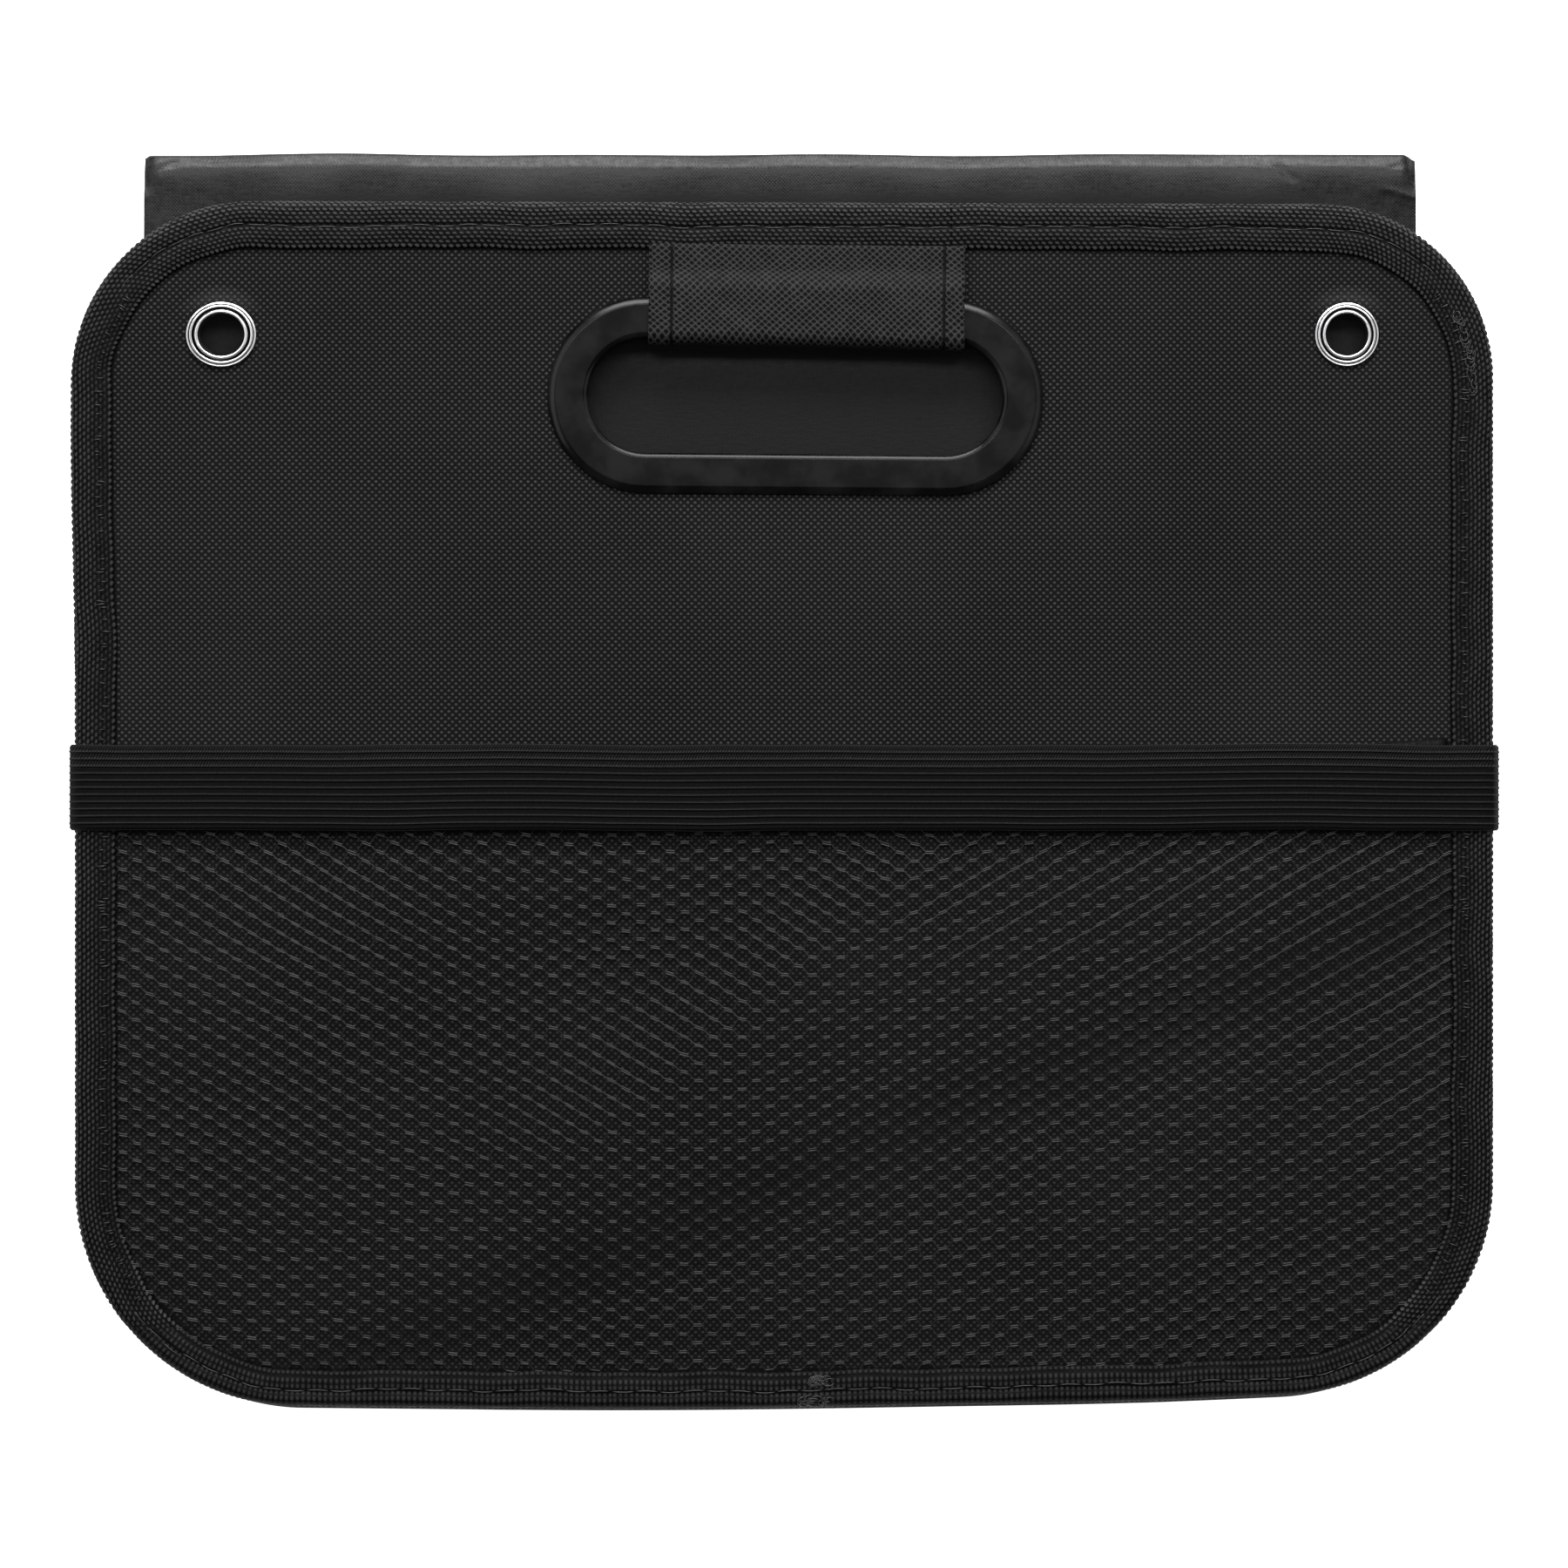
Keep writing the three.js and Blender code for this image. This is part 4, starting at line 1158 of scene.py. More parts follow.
def rounded_line(corners, radius, steps):
    """A line through the corners, each rounded to the radius."""
    corners = [np.array(corner, float) for corner in corners]
    line = [corners[0]]
    for before, corner, after in zip(corners, corners[1:], corners[2:]):
        back = (before - corner) / np.linalg.norm(before - corner)
        ahead = (after - corner) / np.linalg.norm(after - corner)
        half_angle = math.acos(max(-1, min(1, float(np.dot(back, ahead))))) / 2
        middle = (back + ahead) / np.linalg.norm(back + ahead)
        reach = radius / math.tan(half_angle)
        centre = corner + middle * radius / math.sin(half_angle)
        start, end = corner + back * reach - centre, corner + ahead * reach - centre
        turn = math.atan2(start[0] * end[1] - start[1] * end[0], float(np.dot(start, end)))
        for t in np.linspace(0, turn, steps + 1):
            line.append(centre + np.array([start[0] * math.cos(t) - start[1] * math.sin(t),
                                           start[0] * math.sin(t) + start[1] * math.cos(t)]))
    line.append(corners[-1])
    return np.array(line)


def evenly(line, spacing):
    """Evenly spaced points along a line, and how far along it each is."""
    length = running_length(line)
    count = max(2, int(round(length[-1] / spacing)) + 1)
    wanted = np.linspace(0, length[-1], count)
    points = np.column_stack([np.interp(wanted, length, line[:, axis]) for axis in range(line.shape[1])])
    return points, wanted


def sleeve_mesh():
    """The sleeve's points, faces and unrolled coordinates, and how long its cloth is round the bar."""
    line, along = evenly(sleeve_line(), 0.9 * MM)
    run = np.gradient(line, axis=0)
    run /= np.linalg.norm(run, axis=1)[:, None]
    out = np.column_stack([-run[:, 1], run[:, 0]])
    facing = np.sign(np.mean(out[2:6, 1]))
    out = out * facing
    across = np.arange(-SLEEVE_WIDTH / 2, SLEEVE_WIDTH / 2 + 0.5 * MM, 1.1 * MM)
    x, s = np.meshgrid(across, along)
    from_side = SLEEVE_WIDTH / 2 - np.abs(x)
    hem = 0.22 * MM * (1 - smooth_step(from_side, SLEEVE_HEM - 0.4 * MM, SLEEVE_HEM + 0.4 * MM))
    stitch = -0.4 * MM * bell(from_side - SLEEVE_HEM, 0.6 * MM)
    ends = smooth_step(s, 0, 8 * MM) * smooth_step(along[-1] - s, 0, 8 * MM)
    waves = 0.16 * MM * waviness(x, s, 21 * MM, 3) * ends
    lift = SLEEVE_HALF_GAP + hem + stitch + waves - 0.15 * MM
    width_at = 1 + 0.006 * waviness(0 * s, s, 24 * MM, 9)
    at_fold = 1 - smooth_step(line[:, 0], line[:, 0].min(), line[:, 0].min() + 8 * MM)
    slant = -0.5 * MM * at_fold[:, None] * x / (SLEEVE_WIDTH / 2)
    up = line[:, 0][:, None] + out[:, 0][:, None] * lift + slant
    height = line[:, 1][:, None] + out[:, 1][:, None] * lift
    along_x = SLEEVE_X + x * width_at
    world_x = GRIP_X + along_x * math.cos(GRIP_TILT) - up * math.sin(GRIP_TILT)
    world_y = GRIP_Y + along_x * math.sin(GRIP_TILT) + up * math.cos(GRIP_TILT)
    points = np.column_stack([world_x.ravel(), world_y.ravel(), height.ravel()])
    uv = [tuple((b, a) for a, b in corners) for corners in lattice_uv(len(along), len(across), along, across)]
    return points, lattice_faces(len(along), len(across)), uv, along[-1]


class OBJECT_OT_grips(bpy.types.Operator):
    """Plastic grip frames and the cloth sleeves that wrap them"""

    bl_idname = "organiser.grips"
    bl_label = "Grips"

    def execute(self, context):
        path, out = slot_path(28)
        section = ring_section()
        points = [(*(p + d * reach), height) for p, d in zip(path, out) for reach, height in section]
        faces = lattice_faces(len(path), len(section), closed_rows=True, closed_columns=True)
        for side in SIDES:
            piece(f"{side}_grip_ring", points, faces, "plastic",
                  [f"{side}_grip_frame"], side=side)
            cloth, quads, uv, length = sleeve_mesh()
            wrap = piece(f"{side}_grip_wrap", cloth, quads, "sleeve",
                         [f"{side}_grip_sleeve"], uv=uv, side=side, thickness=SLEEVE_CLOTH)
            dress_node(f"{side}_grip_back_ring", "plastic")
        return {"FINISHED"}


def dress_node(name, finish):
    """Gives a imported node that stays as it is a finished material."""
    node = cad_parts[name]
    node.data.materials.clear()
    node.data.materials.append(finish_named(finish))


# Eyelets

def notch(middle, half, top, depth):
    """A steep groove, with points close to its corners so that its walls stay steep when shaded smoothly."""
    wall = ((-1, 0.08), (-0.85, 0.25), (-0.15, 0.92), (0, 1), (0.15, 0.92), (0.85, 0.25), (1, 0.08))
    return [(middle + share * half, top - sunk * depth) for share, sunk in wall]


def eyelet_section():
    """The eyelet's closed profile: [radius, height]. A groove parts the rolled throat from the flat rim."""
    base, top = COVER_OUT + 0.1 * MM, EYELET_TOP
    section = [(EYELET_HOLE, EYELET_BACK)]
    throat = EYELET_THROAT
    for angle in np.radians(np.linspace(180, 0, 9)):
        section.append((EYELET_HOLE + throat + throat * math.cos(angle),
                        top - throat + throat * math.sin(angle)))
    section += notch(GROOVE_RADIUS, 0.32 * MM, top, 1.2 * MM)
    section.append((GROOVE_RADIUS + 0.5 * MM, top - 0.04 * MM))
    section.append((LINE_RADIUS - 0.3 * MM, top - 0.08 * MM))
    section += notch(LINE_RADIUS, 0.15 * MM, top - 0.1 * MM, 0.5 * MM)
    edge, bead = EYELET_RIM - 0.24 * MM, 0.24 * MM
    for angle in np.radians(np.linspace(130, -40, 7)):
        section.append((edge + bead * math.cos(angle), top - 0.5 * MM + bead * math.sin(angle)))
    barrel = EYELET_HOLE + EYELET_WALL
    return section + [
        (EYELET_RIM - 0.4 * MM, base),
        (barrel, base),
        (barrel, EYELET_BACK + 0.5 * MM),
        (barrel + 1 * MM, EYELET_BACK + 0.45 * MM),
        (barrel + 1 * MM, EYELET_BACK + 0.1 * MM),
        (EYELET_HOLE + 0.3 * MM, EYELET_BACK),
    ]


class OBJECT_OT_eyelets(bpy.types.Operator):
    """Plated eyelets near the panels' top corners"""

    bl_idname = "organiser.eyelets"
    bl_label = "Eyelets"

    def execute(self, context):
        section = eyelet_section()
        turns = np.radians(np.arange(72) * 360 / 72)
        for side in SIDES:
            for place, x, wide, tall in (("left", -EYELET_X, 1.06, 0.98), ("right", EYELET_X, 0.96, 0.96)):
                points = []
                for a in turns:
                    for r, z in section:
                        across, up = (wide, tall) if z > COVER_OUT else (1, 1)
                        points.append((x + across * r * math.cos(a), EYELET_Y + up * r * math.sin(a), z))
                faces = lattice_faces(len(turns), len(section), closed_rows=True, closed_columns=True)
                radii = [r for r, _ in section] + [section[0][0]]
                corners = [((radii[c], 0), (radii[c + 1], 0), (radii[c + 1], 1), (radii[c], 1))
                           for _ in turns for c in range(len(section))]
                piece(f"{side}_{place}_eyelet_ring", points, faces, "metal",
                      [f"{side}_eyelet_{place}"], uv=corners, side=side)
                dress_node(f"{side}_eyelet_washer_{place}", "metal")
        return {"FINISHED"}


# Pocket

def net_swell(x, y):
    """How the slack net lifts off the cover in long slanting waves, from 0 to 1."""
    wave = np.sin((y - TROUGH_SLOPE * x + TROUGH_FALL) * (2 * math.pi / (74 * MM)) - math.pi / 2)
    return np.clip(0.5 + 0.34 * wave + 0.16 * waviness(x, y, 70 * MM, 13), 0, 1)


def net_point(x, y):
    """Where a point of the net lies after its slow warp, and how high it stands over the cover."""
    warped_x = x + 0.5 * MM * waviness(x, y, 95 * MM, 11)
    warped_y = y + 0.45 * MM * waviness(x, y, 80 * MM, 12) - 0.6 * MM * (x / HALF_WIDTH) ** 2
    free = smooth_step(-panel_distance(x, y), 8 * MM, 26 * MM) * smooth_step(POCKET_TOP - y, 4 * MM, 22 * MM)
    return warped_x, warped_y, NET_IN + 0.35 * MM + NET_SLACK * net_swell(x, y) * free


def net_strands():
    """The knitted net's strands: doubled level bars and single curved legs, each with the painted highlight
    it gets.
    """
    pitch, rise = sizes().net_cell_width, sizes().net_cell_height
    bar = 0.28 * pitch
    leg = pitch / 2 - bar
    columns = int(HALF_WIDTH / pitch) + 2
    rows = int((POCKET_TOP - PANEL_BOTTOM) / rise * 2) + 2
    row, column = np.meshgrid(np.arange(rows), np.arange(-columns, columns + 1), indexing="ij")
    x = (column * pitch + pitch / 2 * (row % 2)).ravel()
    y = (POCKET_TOP - row * rise / 2).ravel()
    random = np.random.default_rng(3)
    half_gap = 0.3 * MM + 0.02 * MM * random.standard_normal(len(x))
    half_bar = bar / 2 * (1 + 0.06 * random.standard_normal(len(x)))
    tilt = 0.03 * random.standard_normal(len(x))
    falling, rising = net_bands(x, y)
    left = smooth_step(-x, -10 * MM, 50 * MM)
    tilt = tilt - 0.45 * falling - 0.12 * left + 0.52 * np.maximum(rising, 0.25 * (1 - left))
    # Below the trough the bars get less painted highlight and the legs get more.
    low = smooth_step(TROUGH_SLOPE * x - TROUGH_FALL - y, 0, 20 * MM)
    bars, legs = [], []
    share = np.array([[-1, 1]])
    for sign in (1, -1):
        # Painted highlight on the bars, dimmed in the trough.
        shine = 0.7 - 0.1 * low + 0.14 * random.standard_normal(len(x))
        shine += 0.1 * falling - 0.08 * rising - 0.3 * net_trough(x, y)
        bars.append((x[:, None] + half_bar[:, None] * share,
                     y[:, None] + sign * half_gap[:, None] * (1 - 0.2 * share**2)
                     + tilt[:, None] * half_bar[:, None] * share, shine))
    t = np.linspace(0, 1, 4)[None, :]
    bow = np.sin(2 * math.pi * t) * 0.12 * MM
    for sign, band in ((1, falling), (-1, rising)):
        # Painted highlight on the legs along the bands, dimmed in the trough.
        shine = 0.14 + 0.12 * low + 0.05 * random.standard_normal(len(x))
        shine += 0.56 * smooth_step(band, 0.1, 0.9) - 0.15 * net_trough(x, y)
        joined = sign * (tilt * bar / 2)[:, None] * (1 - 2 * t)
        legs.append((x[:, None] + sign * (bar * 0.42 + (leg + bar * 0.16) * t),
                     y[:, None] - rise / 2 * t + bow + joined, shine))
    return bars, legs


def net_bands(x, y):
    """Bands across the net, each from 0 to 1: one along its falling legs and one along its rising legs.
    They tilt the bars and set the strands' painted highlights.
    """
    def spot(px, py, wide, tall):
        return bell(x - px, wide) * bell(y - py, tall)

    ridge_slope = 0.85
    from_ridge = (y + 42 * MM - ridge_slope * (x + 9 * MM)) / math.hypot(1, ridge_slope)
    falling = bell(from_ridge, 11 * MM) * smooth_step(y, -105 * MM, -70 * MM)
    falling = falling + 0.9 * spot(-118 * MM, -28 * MM, 40 * MM, 20 * MM)
    falling = falling + 0.45 * spot(-120 * MM, -70 * MM, 50 * MM, 34 * MM)
    ripple = 0.62 + 0.38 * np.sin((y - 0.5 * x) * (2 * math.pi / (13 * MM)) + waviness(x, y, 60 * MM, 19))
    rising = smooth_step(x, 12 * MM, 45 * MM) * bell(y + 26 * MM, 24 * MM) * ripple
    rising = rising + 0.85 * smooth_step(x, 105 * MM, 150 * MM) * smooth_step(y, -112 * MM, -70 * MM) * ripple
    return np.clip(falling, 0, 1), np.clip(rising, 0, 1)


def net_trough(x, y):
    """The rising trough across the net, where painted shade dims the strands, from 0 to 1."""
    return smooth_step(-np.abs(y - TROUGH_SLOPE * x + TROUGH_FALL), -16 * MM, -2 * MM)


def tube_net(groups, radius, lift):
    """Thin four-sided tubes along many lines at once, and the painted highlight of each of their faces."""
    points, faces, shines = [], [], []
    start = 0
    for x, y, shine in groups:
        inside = panel_distance(x[:, 1], y[:, 1]) < -NET_EDGE
        x, y, shine = x[inside], y[inside], shine[inside]
        px, py, pz = net_point(x, y)
        line = np.stack([px, py, pz + lift], axis=-1)
        run = np.gradient(line, axis=1)
        run /= np.linalg.norm(run, axis=2, keepdims=True)
        flat = np.cross(run, (0, 0, 1))
        up = np.cross(flat, run)
        rings = []
        for k in range(4):
            angle = math.pi / 4 + k * math.pi / 2
            rings.append(line + radius * (math.cos(angle) * 1.25 * flat + math.sin(angle) * up))
        ring = np.stack(rings, axis=2)
        count, length = ring.shape[:2]
        points.append(ring.reshape(-1, 3))
        index = start + np.arange(count * length * 4).reshape(count, length, 4)
        a, b = index[:, :-1], index[:, 1:]
        quads = np.stack([a, b, np.roll(b, -1, axis=2), np.roll(a, -1, axis=2)], axis=-1)
        faces.append(quads.reshape(-1, 4))
        shines.append(np.repeat(shine, (length - 1) * 4))
        start += count * length * 4
    return np.vstack(points), np.vstack(faces), np.concatenate(shines)


class OBJECT_OT_pocket(bpy.types.Operator):
    """The pocket's knitted net and its hem"""

    bl_idname = "organiser.pocket"
    bl_label = "Net pocket"

    def execute(self, context):
        bars, legs = net_strands()
        points, faces, shine = tube_net(bars, 0.16 * MM, 0.22 * MM)
        leg_points, leg_faces, leg_shine = tube_net(legs, 0.11 * MM, 0.02 * MM)
        faces = np.vstack([faces, leg_faces + len(points)]).tolist()
        points = np.vstack([points, leg_points])
        corners = [((value, 0.5),) * 4 for value in np.concatenate([shine, leg_shine]).tolist()]
        netting = piece("front_pocket_netting", points, faces, "net", ["front_pocket_net"],
                        uv=corners)
        self.make_hem()
        return {"FINISHED"}

    def make_hem(self):
        """The hem lies under the band, and its right end curls up above it."""
        low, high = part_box("front_pocket_hem")
        xs = np.arange(low.x, high.x, 2 * MM)
        rows = np.linspace(-1, 1, 7)
        points = []
        for x in xs:
            curl = 2.4 * MM * smooth_step(np.array(x), 128 * MM, 166 * MM)
            middle = BAND_MIDDLE + 4.4 * MM + curl
            for row in rows:
                points.append((x, middle + row * 5 * MM, high.z - 0.25 * MM * row**4))
        hem = piece("front_pocket_hem_tape", points, lattice_faces(len(xs), len(rows)), "webbing",
                    ["front_pocket_hem"], thickness=0.8 * MM)
        hem.data.flip_normals()


# Elastic band

def band_section():
    """The band's closed section: [up across it, out from its inner face]. A thin cord parts its ribs."""
    width = sizes().band_width
    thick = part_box("front_grip_sleeve")[1].z - TAPE_OUT - 0.5 * MM
    across = np.linspace(-width / 2, width / 2, BAND_RIBS * STEPS_IN_RIB + 1)
    share = (across + width / 2) / width * BAND_RIBS
    from_cord = np.abs(share - np.round(share))
    height = thick + 0.38 * MM * bell(from_cord, 0.11) + 0.1 * MM * np.abs(np.sin(share * math.pi))
    edge = smooth_step(width / 2 - np.abs(across), 0, 0.5 * MM)
    outer = np.column_stack([across, height * (0.55 + 0.45 * edge)])
    inner = np.array([(width / 2, 0.15 * MM), (0, 0), (-width / 2, 0.15 * MM)])
    return np.vstack([outer, inner])


def band_path(spacing):
    """The loop round the pack: [x, height], and the outward direction at each point."""
    gap = 0.3 * MM
    x, z = HALF_WIDTH + gap, TAPE_OUT - MIDDLE + gap
    radius = 2.3 * MM
    corners = [(x, z), (-x, z), (-x, -z), (x, -z)]
    points = []
    for i, (cx, cz) in enumerate(corners):
        centre = np.array([cx - math.copysign(radius, cx), cz - math.copysign(radius, cz)])
        for angle in np.radians(np.linspace(i * 90, i * 90 + 90, 8)):
            points.append(centre + radius * np.array([math.cos(angle), math.sin(angle)]))
    ring = np.array(points + points[:1])
    line, along = evenly(ring, spacing)
    line = line[:-1]
    run = np.roll(line, -1, axis=0) - np.roll(line, 1, axis=0)
    out = np.column_stack([run[:, 1], -run[:, 0]]) / np.linalg.norm(run, axis=1)[:, None]
    return line, out, along


class OBJECT_OT_elastic_band(bpy.types.Operator):
    """The ribbed elastic round the whole pack"""

    bl_idname = "organiser.elastic_band"
    bl_label = "Elastic band"

    def execute(self, context):
        line, out, along = band_path(2.2 * MM)
        section = band_section()
        points = []
        for (x, z), direction, at in zip(line, out, along):
            sway = 0.22 * MM * waviness(np.array(at), np.array(0.0), 70 * MM, 21)
            stretch = 1 + 0.012 * waviness(np.array(at), np.array(0.0), 45 * MM, 22)
            for up, reach in section:
                points.append((x + direction[0] * reach, BAND_MIDDLE - 0.4 * MM + sway + up * stretch,
                               MIDDLE + z + direction[1] * reach))
        outer = BAND_RIBS * STEPS_IN_RIB + 1
        across = np.concatenate([np.linspace(0, BAND_RIBS * RIB_STEP, outer),
                                 BAND_RIBS * RIB_STEP + np.arange(1, len(section) - outer + 2) * MM])
        faces = lattice_faces(len(line), len(section), closed_rows=True, closed_columns=True)
        uv = lattice_uv(len(line), len(section), along, across, closed_rows=True, closed_columns=True)
        piece("elastic_loop", points, faces, "elastic", ["elastic_band"], uv=uv)
        return {"FINISHED"}


# Folded base and body cloth

BODY_X = -1 * MM
BASE_HALF_WIDTH = (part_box("base_envelope")[1].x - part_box("base_envelope")[0].x) / 2
BASE_HALF_DEPTH = (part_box("base_envelope")[1].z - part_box("base_envelope")[0].z) / 2
FOLD_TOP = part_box("base_envelope")[1].y
LEG_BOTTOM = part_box("base_envelope")[0].y
TENT_GAP = 6.6 * MM
BOARD_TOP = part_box("base_board_front")[1].y
FOLD_SLOPE = math.radians(31)
FOLD_ROLL = 1.2 * MM

# How far the envelope's face tilts towards the fold: millimetres above the panel's top edge, and degrees.
FACE_TILTS = ((0, 0), (2.5, 0), (5, 2), (6.7, 4.5), (8.3, 9), (9.3, 20), (9.9, 28), (11.9, 31))

# Wrinkles on the strip above the panel: each ridge or crease by its two ends, half width and height.
STRIP_WRINKLES = (
    ((149.2, 147.9), (156.3, 146.0), 0.7, 0.2),
    ((149.6, 146.4), (146.4, 140.0), 1.1, -0.2),
    ((151.2, 153.4), (156.0, 154.9), 0.8, -0.3),
    ((122.6, 153.6), (126.4, 150.4), 0.7, -0.3),
    ((-156.0, 153.0), (-151.0, 154.8), 0.9, -0.35),
    ((146.0, 140.0), (139.0, 139.0), 1.4, 0.3),
)


def wrinkle_lift(x, y):
    """Height of the strip's few wrinkles over its smooth face."""
    lift = np.zeros(np.broadcast(x, y).shape)
    for first, last, width, height in STRIP_WRINKLES:
        first, last = np.array(first) * MM, np.array(last) * MM
        run = last - first
        share = np.clip(((x - first[0]) * run[0] + (y - first[1]) * run[1]) / np.dot(run, run), 0, 1)
        away = np.hypot(x - first[0] - share * run[0], y - first[1] - share * run[1])
        lift += height * MM * bell(away, width * MM)
    return lift


def hole_swell(x, y):
    """How far the nylon swells into the hand hole. It falls away steeply under the sleeve."""
    along, up = in_grip_frame(x, y)
    slow = np.interp(up / MM, (-14, 7), (0, 1))
    steep = 1 - smooth_step(up, 9.2 * MM, 12.6 * MM)
    return 0.9 * MM * slow * steep * smooth_step(HOLE_LENGTH / 2 - np.abs(along), 0, 24 * MM)


def envelope_section(draw_in):
    """The envelope's closed section: [up, height from the middle plane], and how many points are outside.

    Its face slopes ever more towards the fold. draw_in pulls the fold down."""
    outer, inner = BASE_HALF_DEPTH, TENT_GAP / 2
    level = np.concatenate([
        np.linspace(LEG_BOTTOM, GRIP_Y - 17 * MM, 34),
        GRIP_Y + np.arange(-16, 14, 1.2) * MM,
        np.linspace(GRIP_Y + 15 * MM, PANEL_TOP - 12 * MM, 6),
        np.linspace(PANEL_TOP - 11 * MM, PANEL_TOP, 6),
    ])
    face = [(y, outer) for y in level]
    roll = FOLD_ROLL * (1 - math.sin(FOLD_SLOPE))
    slope_length = FOLD_TOP - PANEL_TOP - roll
    steps = 22
    y, z = PANEL_TOP, outer
    for k in range(steps):
        up = slope_length / MM * (k + 0.5) / steps
        y += slope_length / steps
        z -= slope_length / steps * math.tan(math.radians(np.interp(up, *zip(*FACE_TILTS))))
        face.append((y, z))
    foot = z
    for angle in np.linspace(FOLD_SLOPE, math.pi / 2, 9)[1:]:
        face.append((y + FOLD_ROLL * (math.sin(angle) - math.sin(FOLD_SLOPE)),
                     foot + FOLD_ROLL * (math.cos(angle) - math.cos(FOLD_SLOPE))))
    face += [(height, -depth) for height, depth in reversed(face)]
    centre = FOLD_TOP - outer
    inside = [(LEG_BOTTOM, -inner), (centre, -inner)]
    for angle in np.radians(np.linspace(-60, 60, 5)):
        inside.append((centre + inner * math.cos(angle), inner * math.sin(angle)))
    inside += [(centre, inner), (LEG_BOTTOM, inner)]
    section = np.array(face + inside)
    high = np.clip((section[:, 0] - PANEL_TOP) / (FOLD_TOP - PANEL_TOP), 0, 1)
    section[:, 0] -= draw_in * high**2
    return section, len(face)


class OBJECT_OT_folded_base(bpy.types.Operator):
    """The nylon envelope of the folded base, and the boards in it"""

    bl_idname = "organiser.folded_base"
    bl_label = "Folded base"

    def execute(self, context):
        close = np.concatenate([[0, 0.3, 0.7, 1.1], np.arange(1.6, 36, 1.2)]) * MM
        apart = np.arange(-BASE_HALF_WIDTH + 38 * MM, BASE_HALF_WIDTH - 36.5 * MM, 2.8 * MM)
        xs = np.concatenate([-BASE_HALF_WIDTH + close, apart, BASE_HALF_WIDTH - close[::-1]])
        points = []
        for x in xs:
            from_end = BASE_HALF_WIDTH - abs(x)
            corner, reach = (1.4 * MM, 2.8 * MM) if x > 0 else (0.6 * MM, 1.2 * MM)
            draw_in = corner * (1 - float(smooth_step(np.array(from_end), 0, reach)))
            section, outer_count = envelope_section(draw_in)
            y, z = section[:, 0], section[:, 1]
            across = np.full(len(y), x)
            fold = smooth_step(y, FOLD_TOP - 26 * MM, FOLD_TOP - 10 * MM)
            outside = np.arange(len(y)) < outer_count
            ripple = 0.3 * MM * waviness(across, y, 38 * MM, 31) * fold
            front = (z > BASE_HALF_DEPTH * 0.3) * smooth_step(z, BASE_HALF_DEPTH * 0.3, BASE_HALF_DEPTH * 0.9)
            creased = (wrinkle_lift(across + BODY_X, y) + hole_swell(across + BODY_X, y)) * front
            wave = 0.16 * MM * waviness(across, 0 * y, 48 * MM, 33)
            creased += wave * bell(FOLD_TOP - y - 3.2 * MM, 2.4 * MM) * front
            rise = 0.3 * MM * waviness(across, 0 * y, 60 * MM, 32) * smooth_step(y, PANEL_TOP, FOLD_TOP)
            above = smooth_step(y, BOARD_TOP + 1 * MM, BOARD_TOP + 6 * MM)
            tuck = 1 - 0.2 * (1 - smooth_step(np.array(from_end), 0, 3 * MM)) * above
            height = (z * (1 + ripple / BASE_HALF_DEPTH) + creased) * np.where(outside, tuck, 1)
            points.append(np.column_stack([across + BODY_X, y + rise, MIDDLE + height]))
        columns = len(points[0])
        faces = lattice_faces(len(xs), columns, closed_columns=True)
        faces.append(tuple(range(columns)))
        faces.append(tuple(reversed(range((len(xs) - 1) * columns, len(xs) * columns))))
        faces = [tuple(reversed(face)) for face in faces]
        piece("base_nylon", np.vstack(points), faces, "nylon", ["base_envelope"])
        for name in ("base_board_front", "base_board_rear", "front_board", "rear_board"):
            dress_node(name, "board")
        return {"FINISHED"}


SEAM_HEIGHT = TAPE_IN - MIDDLE - 0.45 * MM
SEAM_INSET_BODY = 5.3 * MM
FLOOR_LAYER = 2.6 * MM
WALL_FOLD = 158.4 * MM
WALL_SEAM = 170 * MM
WALL_INNER_FOLD = 15 * MM
WALL_LAYERS = (1.65 * MM, 0.55 * MM)
BODY_CLOTH = 0.5 * MM


def mirrored(line):
    return line + [(along, -height) for along, height in reversed(line)]


def seam_limit(fixed, axis, start, side):
    """How far a seam flap may reach towards the panel's edge, for each place along it."""
    steps = start + np.linspace(0, 1, 120) * (HALF_WIDTH if axis == "x" else PANEL_BOTTOM - start)
    grid_fixed, grid_step = np.meshgrid(fixed, steps)
    x, y = (grid_step, grid_fixed) if axis == "x" else (grid_fixed, grid_step)
    inside = panel_distance(side * x if axis == "x" else x, y) < -SEAM_INSET_BODY
    reach = np.where(inside, np.arange(len(steps))[:, None], 0).max(axis=0)
    return steps[reach]


